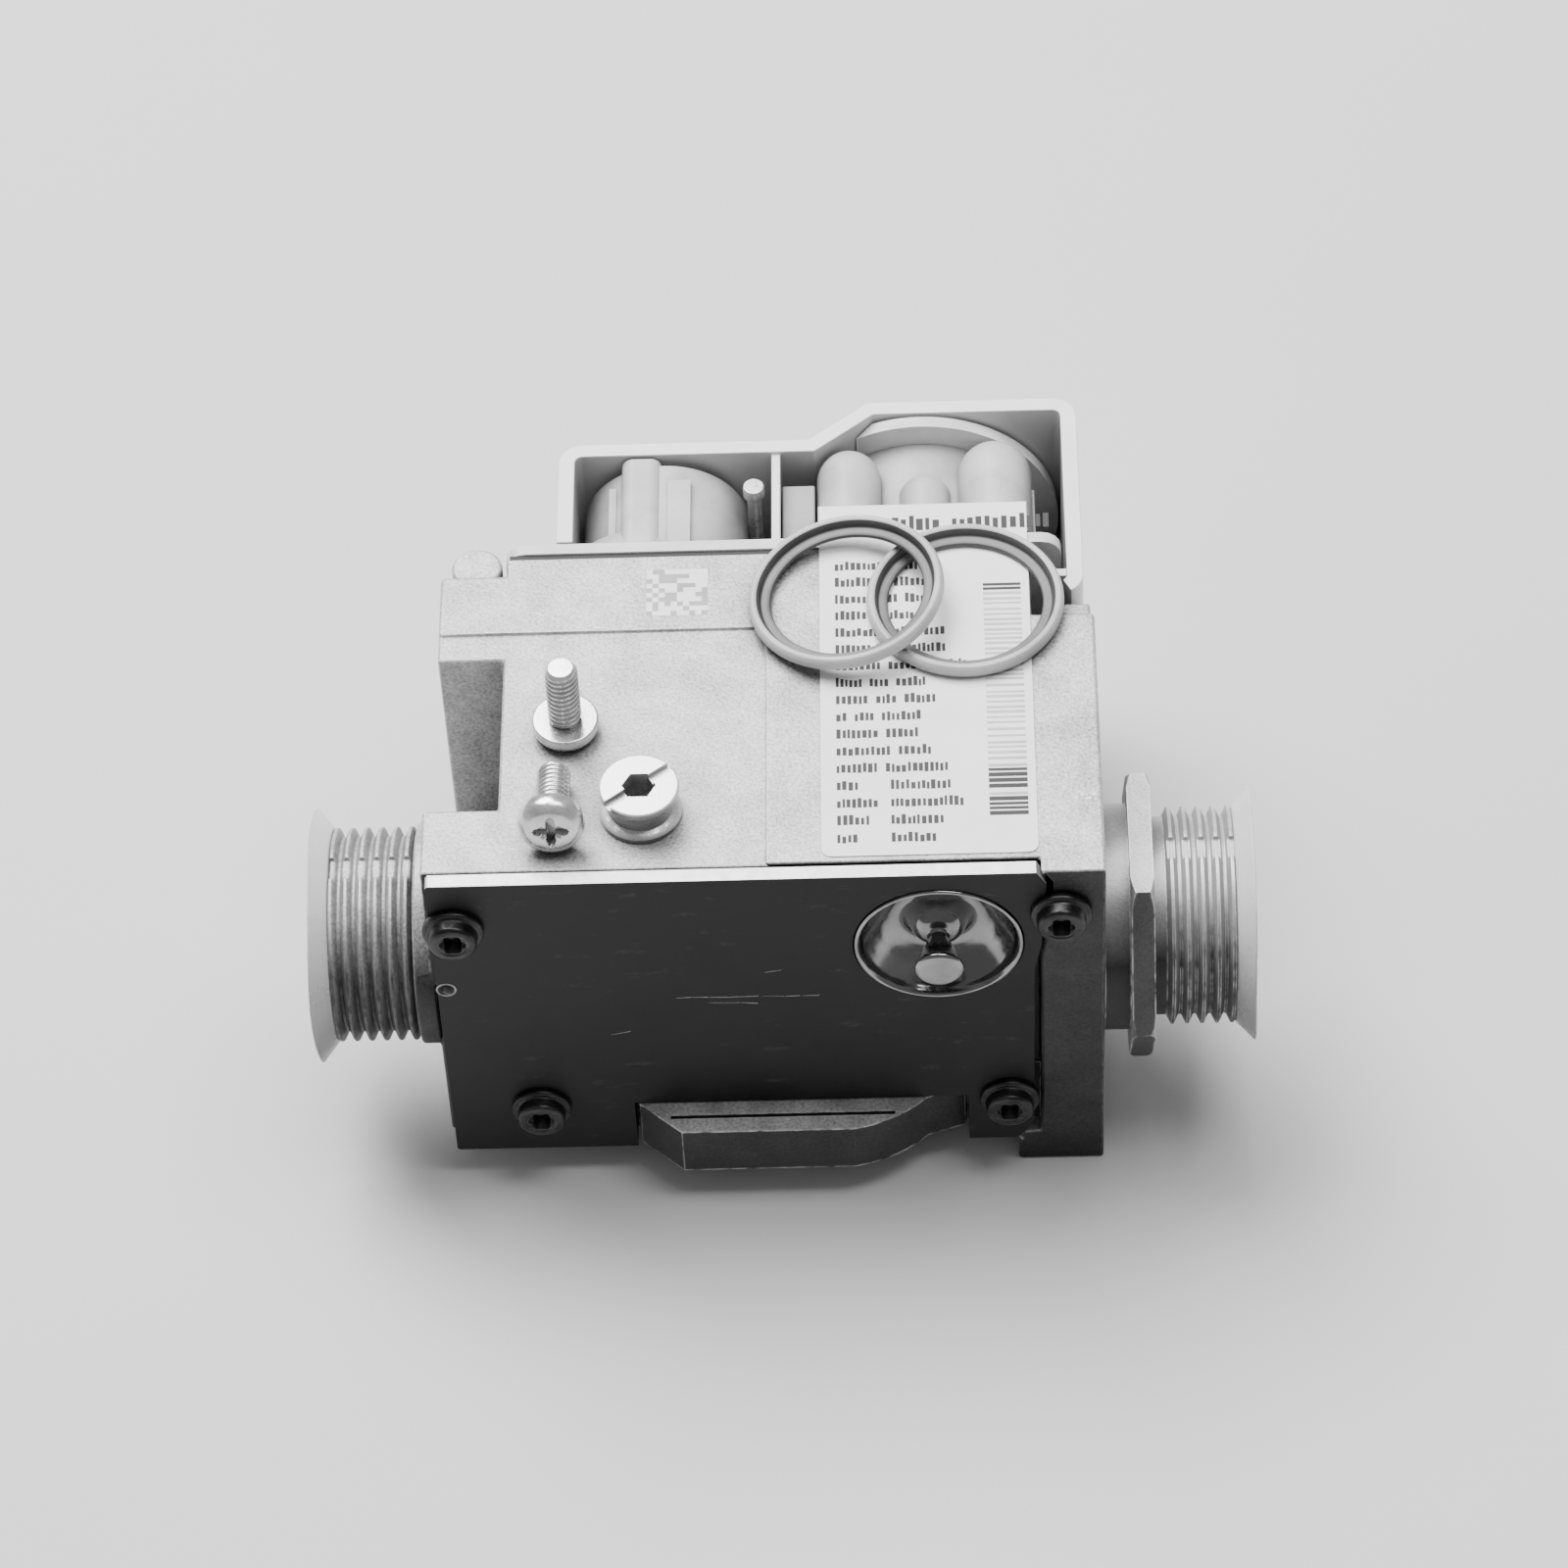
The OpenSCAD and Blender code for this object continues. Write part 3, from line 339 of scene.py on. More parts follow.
# the settings below for forward faces and for hollows are painted shade
PLASTICS = {
    "black_rubber": dict(dark=0.012, light=0.025, rough=0.62, grain=0.3, grain_depth=0.02),
    "coil_resin": dict(dark=0.46, light=0.62, rough=0.45, grain=0.5, grain_depth=0.05, coat=0.1,
                       dirt=0.3, front_shade=0.4, hollow_shade=0.4, reach=7),
    "white_plastic": dict(dark=0.88, light=0.94, rough=0.4, coat=0.1, dirt=0.03, hollow_shade=0.42,
                          reach=16),
    "grey_plastic": dict(dark=0.36, light=0.44, rough=0.5, dirt=0.2, hollow_shade=0.4, reach=5),
    "label_paper": dict(dark=0.90, light=0.95, rough=0.4, grain=0.4, grain_depth=0.004, coat=0.2),
    "ring_fibre": dict(dark=0.40, light=0.58, rough=0.42, grain=0.25, grain_depth=0.03, dirt=0.35,
                       hollow_shade=0.35, reach=3),
    "plug_plastic": dict(dark=0.88, light=0.95, rough=0.3, coat=0.2, clear=0.3, front_shade=0.5),
}
MATERIALS = {"dark_plate": scratched_plate("dark_plate")}
MATERIALS.update((name, metal(name, **look)) for name, look in METALS.items())
MATERIALS.update((name, plastic(name, **look)) for name, look in PLASTICS.items())
PRINT_INK = plastic("print_ink", dark=0.015, light=0.04, rough=0.6)
FAINT_INK = plastic("faint_ink", dark=0.42, light=0.55, rough=0.6)
RING_RUBBER_AND_SHADE = plastic("ring_rubber_and_shade", dark=0.035, light=0.06, rough=0.5, grain=0.3, grain_depth=0.01)
RING_FLANGE = plastic("ring_flange", dark=0.12, light=0.2, rough=0.5, grain=0.3, grain_depth=0.01)
SCRATCH = metal("scratch", dark=0.16, light=0.32, rough=0.35, metallic=0.6, grain=0.2,
                grain_depth=0.01, blotch=1)
ETCHED = plastic("etched_patch", dark=0.86, light=0.95, rough=0.5, grain=0.2, grain_depth=0.01)
ETCHED_DARK = plastic("etched_dark", dark=0.30, light=0.42, rough=0.5, grain=0.2, grain_depth=0.01)


def dress(piece, slot_name):
    """Gives a piece the material of a slot, and no other."""
    piece.data.materials.clear()
    piece.data.materials.append(MATERIALS[slot_name])


# ---- CAD nodes: materials and softened edges ----

EDGE_RADIUS = {
    "diaphragm_housing": 0.4, "front_cover_plate": 0.25, "coil_base_plate": 0.25, "coil_cover": 0.4,
    "inlet_adaptor": 0.16, "bottom_cover": 0.4, "coil_1": 0.6, "coil_1_yoke": 0.3, "coil_2": 0.35,
    "connector_block": 0.3, "coil_2_clip": 0.2, "adjuster_sleeve": 0.12, "earth_screw": 0.2,
}
ROUND_STEPS = 3
SHARP = math.radians(32)
FLAT = math.radians(0.8)
WELD = 0.002 * MM


def soften(piece, radius):
    """Closes the CAD mesh's split corners, joins its flat faces and rounds its sharp edges."""
    weld = piece.modifiers.new("weld", "WELD")
    weld.merge_threshold = WELD
    joined = piece.modifiers.new("joined", "DECIMATE")
    joined.decimate_type = "DISSOLVE"
    joined.angle_limit = FLAT
    round_over(piece, radius, "ANGLE")


def round_over(piece, radius, limit):
    """Rounds the edges that limit picks, by their angle or by their bevel weight."""
    bevel = piece.modifiers.new("round_over", "BEVEL")
    bevel.width = radius * MM
    bevel.segments = ROUND_STEPS
    bevel.limit_method = limit
    bevel.angle_limit = SHARP
    bevel.use_clamp_overlap = limit == "ANGLE"
    even_shading(piece)


def even_shading(piece):
    """Lets large flat faces decide the shading where small ones meet them. A new piece is also
    shaded smooth; a CAD mesh isn't changed."""
    weighted = piece.modifiers.new("weighted", "WEIGHTED_NORMAL")
    weighted.keep_sharp = False
    if piece.name not in nodes:
        for face in piece.data.polygons:
            face.use_smooth = True


for name, piece in nodes.items():
    dress(piece, SLOT_OF[name])
    if name in EDGE_RADIUS:
        soften(piece, EDGE_RADIUS[name])


# ---- shapes for the detailed pieces, sizes in millimetres ----

ON_AXIS = 1e-6      # a radius below this is one point on the axis
EDGE_SHARE = 0.45   # the most of an edge that a fillet takes at each end


def add_piece(name, shape, like, material=None, replaced=()):
    """Makes a piece from a bmesh. It rides with the CAD node like, and takes the material of that
    node's slot where none is given."""
    mesh = bpy.data.meshes.new(name)
    bmesh.ops.recalc_face_normals(shape, faces=shape.faces)
    shape.to_mesh(mesh)
    shape.free()
    piece = bpy.data.objects.new(name, mesh)
    bpy.context.scene.collection.objects.link(piece)
    for one in material if isinstance(material, list) else [material or MATERIALS[SLOT_OF[like]]]:
        mesh.materials.append(one)
    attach(piece, BODY_OF[like])
    if replaced:
        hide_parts(*replaced)
    return piece


def combine(piece, shape, operation):
    """Cuts or joins a piece with a bmesh shape, and keeps the result as its mesh."""
    tool = bpy.data.objects.new("tool", bpy.data.meshes.new("tool"))
    bmesh.ops.recalc_face_normals(shape, faces=shape.faces)
    shape.to_mesh(tool.data)
    shape.free()
    bpy.context.scene.collection.objects.link(tool)
    step = piece.modifiers.new("combine", "BOOLEAN")
    step.operation = operation
    step.solver = "EXACT"
    step.object = tool
    evaluated = piece.evaluated_get(bpy.context.evaluated_depsgraph_get())
    result = bpy.data.meshes.new_from_object(evaluated)
    piece.modifiers.remove(step)
    piece.data = result
    bpy.data.objects.remove(tool)


def filleted(profile, radius, closed=False, steps=3):
    """A profile with each corner replaced by a small curve."""
    count = len(profile)
    result = []
    for i, corner in enumerate(profile):
        if not closed and i in (0, count - 1):
            result.append(corner)
            continue
        corner = Vector(corner)
        before = Vector(profile[i - 1]) - corner
        after = Vector(profile[(i + 1) % count]) - corner
        reach = min(radius, before.length * EDGE_SHARE, after.length * EDGE_SHARE)
        start = corner + before.normalized() * reach
        end = corner + after.normalized() * reach
        for k in range(steps + 1):
            t = k / steps
            result.append(tuple((1 - t) ** 2 * start + 2 * t * (1 - t) * corner + t * t * end))
    return result


def around(radius, angle, height):
    """A point at an angle about Z."""
    return Vector((radius * math.cos(angle), radius * math.sin(angle), height))


def lathe(shape, profile, place, steps=96, closed=False, paint=None, wave=None):
    """Turns a profile of (radius, height) about Z and puts it at place. paint gives the material
    index between two profile points; wave moves a point by its angle."""
    rows = []
    for radius, height in profile:
        ring = []
        for k in range(steps if radius > ON_AXIS else 1):
            angle = 2 * math.pi * k / steps
            r, h = wave(radius, height, angle) if wave else (radius, height)
            ring.append(shape.verts.new(place @ around(r, angle, h)))
        rows.append(ring)
    pairs = list(zip(range(len(rows)), range(1, len(rows))))
    if closed:
        pairs.append((len(rows) - 1, 0))
    for a, b in pairs:
        for k in range(steps):
            n = (k + 1) % steps
            corners = [rows[a][k % len(rows[a])], rows[a][n % len(rows[a])],
                       rows[b][n % len(rows[b])], rows[b][k % len(rows[b])]]
            corners = list(dict.fromkeys(corners))
            if len(corners) > 2:
                face = shape.faces.new(corners)
                face.smooth = True
                if paint:
                    face.material_index = paint(profile[a], profile[b])


def prism(shape, outline, bottom, top, place):
    """A straight-sided solid on a closed outline of (x, y) points."""
    rings = [[shape.verts.new(place @ Vector((x, y, z))) for x, y in outline]
             for z in (bottom, top)]
    shape.faces.new(rings[0][::-1])
    shape.faces.new(rings[1])
    for k in range(len(outline)):
        n = (k + 1) % len(outline)
        shape.faces.new((rings[0][k], rings[0][n], rings[1][n], rings[1][k]))


def star(points, outer, inner):
    """Outline with rounded lobes, for a lobed or cross recess."""
    count = points * 8
    outline = []
    for k in range(count):
        a = 2 * math.pi * k / count
        r = (inner + outer) / 2 + (outer - inner) / 2 * math.cos(points * a)
        outline.append(r * Vector((math.cos(a), math.sin(a))))
    return outline


def in_millimetres(place, turn=None):
    """A matrix that puts a shape drawn in millimetres at a place in metres, turned first."""
    return Matrix.Translation(place) @ (turn or Matrix()).to_4x4() @ Matrix.Scale(MM, 4)


def turned_to(direction):
    """A rotation that takes +Z to a direction."""
    return Vector((0, 0, 1)).rotation_difference(Vector(direction).normalized()).to_matrix()


def shank(shape, radius, depth, pitch, length, plain, place):
    """A threaded shank along -Z, its ridges a true helix, plain under the head and tapered at the
    tip. depth is that of the thread."""
    per_pitch, steps = 8, 40
    crest, flank = 0.15, 0.6
    tip, tip_slope = 0.7, 0.8
    levels = int(length / pitch * per_pitch)
    rows = []
    for i in range(levels + 1):
        z = -length * i / levels
        ring = []
        for k in range(steps):
            turn = k / steps
            away = abs(((z / pitch - turn) % 1) - 0.5) * 2
            cut = depth * min(1, max(0, (away - crest) / flank))
            taper = max(0, tip - (length + z)) * tip_slope
            r = radius - max(cut if z < -plain else depth * 0.6, taper)
            ring.append(shape.verts.new(place @ around(r, 2 * math.pi * turn, z)))
        rows.append(ring)
    for a, b in zip(rows, rows[1:]):
        for k in range(steps):
            n = (k + 1) % steps
            shape.faces.new((a[k], b[k], b[n], a[n])).smooth = True
    shape.faces.new(rows[0])
    shape.faces.new(rows[-1][::-1])


# ---- the main casting, one skin over its three CAD nodes ----

CASTING = ["valve_body", "outlet_side", "foot_column"]
CASTING_RADIUS = 0.45
CUT_WELD = 0.003 * MM
ROOM_SHARE = 0.3    # how much of a narrow face's width its rounding may take


def welded(node):
    """A CAD node's mesh with its split corners closed."""
    shape = bmesh.new()
    shape.from_mesh(nodes[node].data)
    bmesh.ops.remove_doubles(shape, verts=shape.verts, dist=WELD)
    return shape


def mark_edges(piece, radius):
    """Joins flat faces, and gives each sharp edge as much rounding as its faces have room for."""
    shape = bmesh.new()
    shape.from_mesh(piece.data)
    bmesh.ops.remove_doubles(shape, verts=shape.verts, dist=CUT_WELD)
    bmesh.ops.dissolve_limit(shape, angle_limit=FLAT, verts=shape.verts, edges=shape.edges)
    layer = shape.edges.layers.float.new("bevel_weight_edge")
    for edge in shape.edges:
        if len(edge.link_faces) == 2 and edge.calc_face_angle() > SHARP:
            room = min(face.calc_area() for face in edge.link_faces) / edge.calc_length()
            edge[layer] = min(1, ROOM_SHARE * room / (radius * MM))
    shape.to_mesh(piece.data)
    shape.free()


casting = add_piece("main_casting", welded(CASTING[0]), CASTING[0], replaced=CASTING)
for name in CASTING[1:]:
    combine(casting, welded(name), "UNION")
mark_edges(casting, CASTING_RADIUS)
round_over(casting, CASTING_RADIUS, "WEIGHT")


# ---- cover screws: collar, rounded head, lobed recess ----

def cut_recess(piece, outline, top, depth, place):
    """Cuts a recess with a straight wall into a head whose top is at top."""
    tool = bmesh.new()
    prism(tool, outline, top - depth, top + 1, place)
    combine(piece, tool, "DIFFERENCE")


def solids(node):
    """The box of each separate solid of a node, as low and high corners."""
    shape = welded(node)
    left = set(shape.verts)
    boxes = []
    while left:
        reached, waiting = set(), [left.pop()]
        while waiting:
            vert = waiting.pop()
            reached.add(vert)
            near = {edge.other_vert(vert) for edge in vert.link_edges} & left
            left -= near
            waiting += near
        spots = [vert.co for vert in reached]
        boxes.append((Vector([min(spot[i] for spot in spots) for i in range(3)]),
                      Vector([max(spot[i] for spot in spots) for i in range(3)])))
    shape.free()
    return sorted(boxes, key=lambda pair: tuple(round(value, 5) for value in pair[0]))


PLATE_FACE = low("front_cover_plate").y
COVER_SCREW = [(0, -1.7), (1.5, -1.7), (1.5, -0.1), (3.65, -0.1), (3.65, 0.75), (3.35, 0.95),
               (2.95, 1.0), (2.9, 2.3), (2.6, 2.62), (1.95, 2.65), (1.8, 2.5), (0, 2.45)]


def on_plate(x, z):
    """A matrix for a shape that stands on the front plate, drawn in millimetres with +Z out."""
    return in_millimetres((x, PLATE_FACE, z), turned_to((0, -1, 0)))


# each screw's place comes from its own solid in the CAD node
screw_places = []
for corner_low, corner_high in solids("cover_screws"):
    spot = (corner_low + corner_high) / 2
    screw_places.append(on_plate(spot.x, spot.z))
head = filleted(COVER_SCREW, 0.25)
head_top = max(height for _, height in head)
heads = bmesh.new()
for place in screw_places:
    lathe(heads, head, place, steps=64)
cover_screws = add_piece("cover_screw_heads", heads, "cover_screws", replaced=["cover_screws"])
for place in screw_places:
    cut_recess(cover_screws, star(points=6, outer=1.7, inner=1.25), head_top, 1.6, place)
even_shading(cover_screws)


# ---- kit screws: rounded pan head with a cross recess, and a real thread ----

KIT_HEAD_R = (high("kit_screw_upright").x - low("kit_screw_upright").x) / 2 / MM
KIT_HEAD_H = 2.6
KIT_LENGTH = (high("kit_screw_upright").z - low("kit_screw_upright").z) / MM - KIT_HEAD_H
KIT_SHANK_R = KIT_HEAD_R / 2


def kit_screw(name, node, base, axis):
    """base is where the head meets the shank, in metres, and axis points out of the head."""
    r, h = KIT_HEAD_R, KIT_HEAD_H
    place = in_millimetres(base, turned_to(axis))
    head = [(0, 0), (r - 0.15, 0), (r, 0.2), (r, h * 0.42), (r * 0.93, h * 0.72),
            (r * 0.74, h * 0.95), (r * 0.5, h), (0, h)]
    shape = bmesh.new()
    lathe(shape, filleted(head, 0.35), place, steps=64)
    shank(shape, KIT_SHANK_R, depth=0.28, pitch=0.8, length=KIT_LENGTH, plain=0.5, place=place)
    piece = add_piece(name, shape, node, replaced=[node])
    cut_recess(piece, star(points=4, outer=2.2, inner=0.75), h, 1.5, place)
    even_shading(piece)


upright = middle("kit_screw_upright")
kit_screw("kit_screw_standing", "kit_screw_upright",
          (upright.x, upright.y, low("kit_screw_upright").z + KIT_HEAD_H * MM), (0, 0, -1))
# the lying one rests on its head's rim and its tip
lean = math.atan2(KIT_HEAD_R - KIT_SHANK_R, KIT_LENGTH)
lying_reach = KIT_LENGTH * math.cos(lean) + KIT_SHANK_R * math.sin(lean)
lying_base = Vector((middle("kit_screw_lying").x,
                     high("kit_screw_lying").y - lying_reach * MM,
                     low("kit_screw_lying").z + KIT_HEAD_R * math.cos(lean) * MM))
kit_screw("kit_screw_on_side", "kit_screw_lying", lying_base, (0, -math.cos(lean), math.sin(lean)))


# ---- sealing rings: light lip, black wall, grey flange ----

RING_R = 12
RING_LEAN = math.radians(8.2)


def sealing_ring(name, node, place):
    """A lip along the rim, and a flange one step lower inside it."""
    outer, hole, thick, step = RING_R, 9.4, 2, 0.9
    profile = [(hole, 0.3), (hole + 0.4, 0.02), (outer - 0.6, 0.02), (outer, 0.6),
               (outer, thick - 0.6), (outer - 0.35, thick), (outer - 0.9, thick),
               (outer - 1.25, thick - 0.4), (outer - 1.35, step), (hole + 0.35, step),
               (hole, step - 0.25)]

    def paint(a, b):
        """0 for the lip and the underside, 1 for the rubber wall and for the lip's inner slope,
        whose black is a painted shade line, 2 for the flange.
        """
        r, h = (a[0] + b[0]) / 2, (a[1] + b[1]) / 2
        # the lip's inner slope falls inside this radius and takes the black: a painted shade line
        if r > outer - 1.02 or h < 0.2:
            return 0
        return 1 if h > step or r < hole + 0.1 else 2

    shape = bmesh.new()
    lathe(shape, filleted(profile, 0.2, closed=True), place, steps=128, closed=True, paint=paint)
    materials = [MATERIALS["ring_fibre"], RING_RUBBER_AND_SHADE, RING_FLANGE]
    even_shading(add_piece(name, shape, node, materials, [node]))


flat_ring = middle("sealing_ring_right")
sealing_ring("ring_lying_flat", "sealing_ring_right",
             in_millimetres((flat_ring.x, flat_ring.y, low("sealing_ring_right").z)))
hinge = low("sealing_ring_left")
hinge = Vector((hinge.x, middle("sealing_ring_left").y, hinge.z))
leaning = in_millimetres(hinge, Matrix.Rotation(-RING_LEAN, 3, "Y"))
sealing_ring("ring_leaning", "sealing_ring_left", leaning @ Matrix.Translation((RING_R, 0, 0)))


# ---- polished cap: smooth dish with a domed nose and a rolled rim ----

CAP_R = (high("flow_cap").x - low("flow_cap").x) / 2 / MM
CAP_PROFILE = [(0, 4.2), (2.5, 4.2), (2.95, 3.9), (2.85, 3.4), (2.1, 1.4), (1.3, -0.3),
               (1.1, -0.95), (1.3, -1.35), (2.2, -1.6), (3.1, -2.4), (3.6, -3.6), (4.4, -4.6),
               (5.6, -4.5), (6.9, -3.7), (8.2, -2.2), (9.1, -0.9), (CAP_R - 0.75, -0.15),
               (CAP_R - 0.45, 0.3), (CAP_R - 0.1, 0.25), (CAP_R, -0.1), (CAP_R, -1.5),
               (CAP_R - 0.5, -1.6), (8.4, -3.5), (6.2, -5.7), (0, -5.7)]
cap_shape = bmesh.new()
cap_middle = middle("flow_cap")
lathe(cap_shape, filleted(CAP_PROFILE, 0.6, steps=4), on_plate(cap_middle.x, cap_middle.z),
      steps=160)
add_piece("polished_cap", cap_shape, "flow_cap", replaced=["flow_cap"])


# ---- dust plugs: thin flared rims that wave a little ----

PLUG_RIM = 2.6      # how far the rim stands past the thread end
PLUG_CUP_R = 9.95
PLUG_WALL = 0.8
PORT_R = 13
PLUG_WAVE = 0.25


def dust_plug(name, node, direction, seed):
    """A cup in the bore and a flared rim past the thread end, drawn along +Z from that end."""
    draw = random.Random(seed)
    phases = [draw.uniform(0, 6.3) for _ in range(3)]
    outer = (high(node).z - low(node).z) / 2 / MM
    depth = (high(node).x - low(node).x) / MM - PLUG_RIM
    cup = PLUG_CUP_R

    def wave(radius, height, angle):
        """Moves the rim in and out a little, and leaves the cup as it is."""
        share = max(0, (radius - PORT_R) / (outer - PORT_R))
        push = sum(math.sin((i + 2) * angle + phase) for i, phase in enumerate(phases)) / 3
        return (radius - PLUG_WAVE * share * (0.5 + 0.5 * push),
                height + PLUG_WAVE * share * push - PLUG_WAVE * share)

    profile = [(0, -depth), (cup, -depth), (cup, 0.03), (PORT_R, 0.03), (outer - 0.35, 2.15),
               (outer, 2.45), (outer - 0.45, PLUG_RIM), (12.6, 0.75), (cup - PLUG_WALL, 0.75),
               (cup - PLUG_WALL, PLUG_WALL - depth), (0, PLUG_WALL - depth)]
    end = high(node).x - PLUG_RIM * MM if direction > 0 else low(node).x + PLUG_RIM * MM
    place = in_millimetres((end, 0, AXIS.z), turned_to((direction, 0, 0)))
    shape = bmesh.new()
    lathe(shape, filleted(profile, 0.35), place, steps=128, wave=wave)
    even_shading(add_piece(name, shape, node, replaced=[node]))


dust_plug("inlet_plug_flared", "inlet_dust_plug", 1, 5)
dust_plug("outlet_plug_flared", "outlet_dust_plug", -1, 8)


# ---- springs: round wire with closed end turns ----

SPRING_STEPS = 28       # steps in a turn of the wire
WIRE_SIDES = 10
CLOSED_TURNS = 0.7      # flat turns at each end


def coil_spring(name, node, axis, wire, turns):
    """A spring along axis in the CAD node's box, of wire with that radius. It keeps its foot, or
    its top, on the body it rides with."""
    axis = Vector(axis)
    size = (high(node) - low(node)) / MM
    length = abs(size.dot(axis))
    radius = max(size) / 2 if axis.y else size.x / 2
    foot = middle(node) - axis * length / 2 * MM
    place = in_millimetres(foot, turned_to(axis))
    shape = bmesh.new()
    rings = []
    for i in range(int(turns * SPRING_STEPS) + 1):
        turn = i / SPRING_STEPS
        share = min(1, max(0, (turn - CLOSED_TURNS) / (turns - 2 * CLOSED_TURNS)))
        height = wire + (length - 2 * wire) * share
        ring = []
        for k in range(WIRE_SIDES):
            side = 2 * math.pi * k / WIRE_SIDES
            r = radius - wire + wire * math.cos(side)
            spot = around(r, 2 * math.pi * turn, height + wire * math.sin(side))
            ring.append(shape.verts.new(place @ spot))
        rings.append(ring)
    for first, second in zip(rings, rings[1:]):
        for k in range(WIRE_SIDES):
            n = (k + 1) % WIRE_SIDES
            shape.faces.new((first[k], first[n], second[n], second[k])).smooth = True
    shape.faces.new(rings[0])
    shape.faces.new(rings[-1][::-1])
    piece = add_piece(name, shape, node, replaced=[node])
    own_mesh(piece)


coil_spring("main_valve_spring", "main_spring", (0, 0, 1), wire=0.45, turns=7)
coil_spring("shutter_spring_1", "closing_spring_1", (0, 1, 0), wire=0.32, turns=3.4)
coil_spring("shutter_spring_2", "closing_spring_2", (0, 1, 0), wire=0.22, turns=4.4)
coil_spring("setting_spring", "adjuster_spring", (0, 0, 1), wire=0.25, turns=6)


# ---- print on the label and marks on the casting, with nothing that can be read ----

SUNK, PROUD = -0.01, 0.02   # a mark's lower and upper face, from the surface it lies on


def flat_marks(name, marks, top, like, material):
    """Thin raised marks, each (x, y, width, length) in millimetres, standing on the height top."""
    shape = bmesh.new()
    for x, y, width, length in marks:
        outline = [(x, y), (x + width, y), (x + width, y + length), (x, y + length)]
        prism(shape, outline, SUNK, PROUD, in_millimetres((0, 0, top)))
    add_piece(name, shape, like, material)


def print_row(draw, x, y, groups, size=1.0):
    """A row of short upright strokes in groups, like small print seen from afar."""
    marks = []
    for group in groups:
        for _ in range(group * 2):
            width = draw.uniform(0.3, 0.55) * size
            tall = draw.uniform(1.0, 1.5) * size
            marks.append((x, y + draw.uniform(0, 0.15) * size, width, tall))
            x += width + draw.uniform(0.16, 0.26) * size
        x += 0.8 * size
    return marks


printer = random.Random(3)
ROW_STEP = 2.69
PRINT_MARGIN = 1.9
FIRST_ROW = low("label").y / MM + PRINT_MARGIN
LEFT_X = low("label").x / MM + PRINT_MARGIN
VALUE_X = LEFT_X + 6.4
HEADING_X = LEFT_X + 5
HEADING_Y = high("label").y / MM - 4.4
HEADING_SIZE = 1.6
SPLIT_ROWS = [[4], [5], [7], [6]]
LONG_ROWS = [[4, 6], [5, 3], [4, 3], [1, 2, 4], [3, 2, 3], [3, 2, 3], [4, 3, 4], [5, 5],
             [4, 2, 3], [3, 4], [6, 2], [4, 4], [5, 4]]
strokes = []
for index, value in enumerate(SPLIT_ROWS):
    y = FIRST_ROW + ROW_STEP * index
    strokes += print_row(printer, LEFT_X, y, [2 + index % 3])
    strokes += print_row(printer, VALUE_X, y, value)
for index, groups in enumerate(LONG_ROWS, len(SPLIT_ROWS)):
    strokes += print_row(printer, LEFT_X, FIRST_ROW + ROW_STEP * index, groups)
strokes += print_row(printer, HEADING_X, HEADING_Y, [4, 6], HEADING_SIZE)
flat_marks("label_print", strokes, LABEL_TOP, "label", PRINT_INK)

BARS_X, BAR_LENGTH = 25.2, 4.6
BARS_START, BARS_END = -5.6, 30.8
DARK_SPANS = ((BARS_START, -3.0), (-1.8, 1.8), (29.8, BARS_END))
dark_bars, faint_bars = [], []
y = BARS_START
while y < BARS_END:
    dark = any(start <= y < end for start, end in DARK_SPANS)
    thick = printer.choice((0.42, 0.62)) if dark else printer.choice((0.3, 0.4))
    (dark_bars if dark else faint_bars).append((BARS_X, y, BAR_LENGTH, thick))
    y += thick + (0.25 if dark else printer.choice((0.35, 0.5, 0.7)))
flat_marks("label_bars_dark", dark_bars, LABEL_TOP, "label", PRINT_INK)
flat_marks("label_bars_faint", faint_bars, LABEL_TOP, "label", FAINT_INK)

PATCH_CELLS = 10
PATCH_CELL = 0.75
PATCH_X, PATCH_Y = -15.8, 27.2
LIGHT_SHARE = 0.55
PATCH_TOP = high("valve_body").z
DARK_CELLS_LOWER = 0.006 * MM
light_cells, dark_cells = [], []
for i in range(PATCH_CELLS):
    for j in range(PATCH_CELLS):
        cell = (PATCH_X + PATCH_CELL * i, PATCH_Y + PATCH_CELL * j, PATCH_CELL, PATCH_CELL)
        (light_cells if printer.random() < LIGHT_SHARE else dark_cells).append(cell)
flat_marks("etched_patch", light_cells, PATCH_TOP, "valve_body", ETCHED)
flat_marks("etched_patch_dark", dark_cells, PATCH_TOP - DARK_CELLS_LOWER, "valve_body", ETCHED_DARK)

SPECKS = [(35.2, -3.3, 0.5, 0.4), (36.0, -2.9, 0.35, 0.6), (36.6, -3.4, 0.6, 0.35),
          (37.4, -2.8, 0.4, 0.5), (35.6, -2.4, 0.4, 0.3)]
flat_marks("column_specks", SPECKS, high("foot_column").z, "foot_column", ETCHED)


# ---- handling marks on the front plate ----

def plate_scratches(name, runs):
    """Shallow bright scratches, each (x, height above the port axis, length, slope) in
    millimetres, made of short strips that wander a little."""
    draw = random.Random(11)
    shape = bmesh.new()
    flat_on = on_plate(0, AXIS.z)
    for x, z, length, slope in runs:
        while length > 0:
            strip = min(length, draw.uniform(1.2, 2.6))
            thick = draw.uniform(0.06, 0.17)
            rise = slope * strip + draw.uniform(-0.12, 0.12)
            outline = [(x, z), (x + strip, z + rise), (x + strip, z + rise + thick),
                       (x, z + thick * 0.5)]
            prism(shape, outline, SUNK, 0.015, flat_on)
            x += strip * draw.uniform(0.9, 1.25)
            z += rise
            length -= strip
    add_piece(name, shape, "front_cover_plate", SCRATCH)


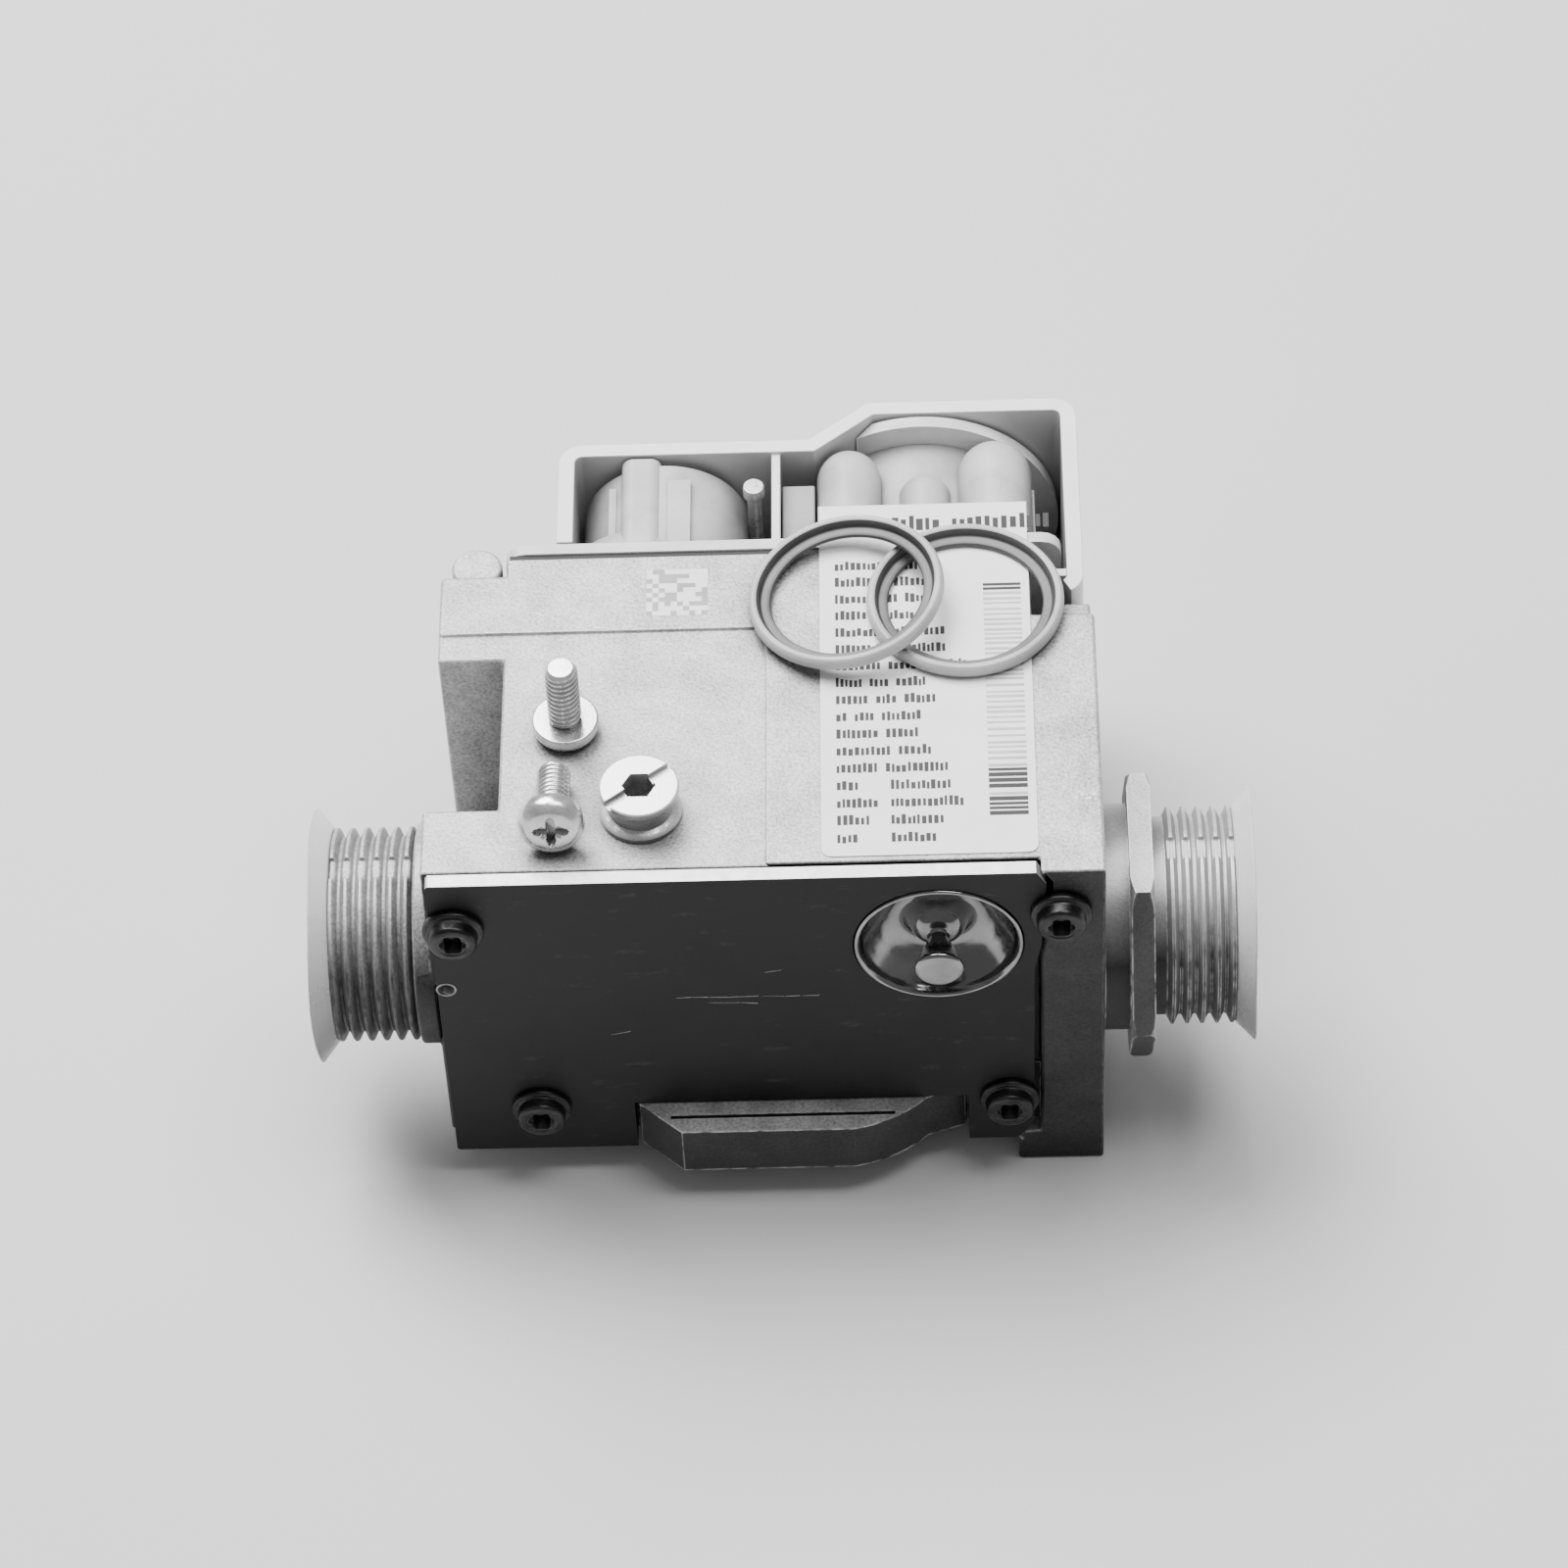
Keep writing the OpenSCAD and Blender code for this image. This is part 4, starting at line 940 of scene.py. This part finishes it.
HOLE_X, HOLE_Z = -40.2, 7.1     # millimetres, from the middle and the port axis
RIM_PROFILE = [(0.98, 0.0), (1.22, -0.01), (1.25, 0.04), (1.12, 0.09), (1.0, 0.07)]
rim = bmesh.new()
lathe(rim, filleted(RIM_PROFILE, 0.02, closed=True), on_plate(HOLE_X * MM, AXIS.z + HOLE_Z * MM),
      steps=48, closed=True)
add_piece("plate_hole_rim", rim, "front_cover_plate", SCRATCH)

plate_scratches("plate_scratches", [(-12.8, 4.4, 16.5, 0.0), (-9, 3.4, 6, -0.05),
                                    (-21, -2.5, 2.4, 0.2), (-2, 9, 2, 0.1)])


# ---- camera, light and floor ----

ELEVATION = math.radians(50)
AZIMUTH = math.radians(2.3)
ROLL = 0.055
FOCAL_PX = 6100
FRAME_PX = 1600
SENSOR = 36
DISTANCE = 0.7288
AIM_DOWN_PX = 143       # how far below the picture's middle the port axis lies
CLIP_START = 0.01
FLOOR_SIZE = 6
LIT_SPOT = (0, 0.02, 0.03)
ROOM_GREY, ROOM_STRENGTH = 0.9, 0.34


def add_camera():
    """A long lens above the cover plate side; the middle of the port axis sits below the centre."""
    back = Vector((math.sin(AZIMUTH) * math.cos(ELEVATION),
                   -math.cos(AZIMUTH) * math.cos(ELEVATION), math.sin(ELEVATION)))
    level_right = (-back).cross(Vector((0, 0, 1))).normalized()
    level_down = (-back).cross(level_right)
    right = math.cos(ROLL) * level_right + math.sin(ROLL) * level_down
    down = -math.sin(ROLL) * level_right + math.cos(ROLL) * level_down
    aim = (AIM_DOWN_PX / FOCAL_PX * down - back) * DISTANCE
    data = bpy.data.cameras.new("camera")
    data.lens = SENSOR * FOCAL_PX / FRAME_PX
    data.sensor_width = SENSOR
    data.clip_start = CLIP_START
    camera = bpy.data.objects.new("camera", data)
    turn = Matrix((right, -down, back)).transposed().to_4x4()
    camera.matrix_world = Matrix.Translation(AXIS - aim) @ turn
    bpy.context.scene.collection.objects.link(camera)
    bpy.context.scene.camera = camera


def add_light(name, place, size, power):
    """A square soft lamp at place, aimed at the object."""
    data = bpy.data.lights.new(name, "AREA")
    data.shape = "RECTANGLE"
    data.size = data.size_y = size
    data.energy = power
    lamp = bpy.data.objects.new(name, data)
    lamp.location = place
    lamp.rotation_euler = (Vector(LIT_SPOT) - Vector(place)).to_track_quat("-Z", "Y").to_euler()
    bpy.context.scene.collection.objects.link(lamp)


def add_studio():
    """Pale floor, soft light from above and behind, and a dim room."""
    bpy.ops.mesh.primitive_plane_add(size=FLOOR_SIZE, location=(0, 0, 0))
    floor = bpy.context.object
    floor.name = "floor"
    s = Surface("floor_pale")
    s.put("Base Color", s.mix(s.ramp(s.noise(0.2), *NOISE_SPAN), 0.66, 0.70))
    s.put("Roughness", 0.7)
    floor.data.materials.append(s.material)
    add_light("key", (-0.30, 0.45, 0.95), size=0.7, power=25)
    add_light("top", (0.25, 0.05, 1.0), size=0.5, power=6.5)
    world = bpy.data.worlds.new("studio")
    world.use_nodes = True
    room = world.node_tree.nodes["Background"]
    room.inputs["Color"].default_value = tone(ROOM_GREY)
    room.inputs["Strength"].default_value = ROOM_STRENGTH
    bpy.context.scene.world = world


add_camera()
add_studio()
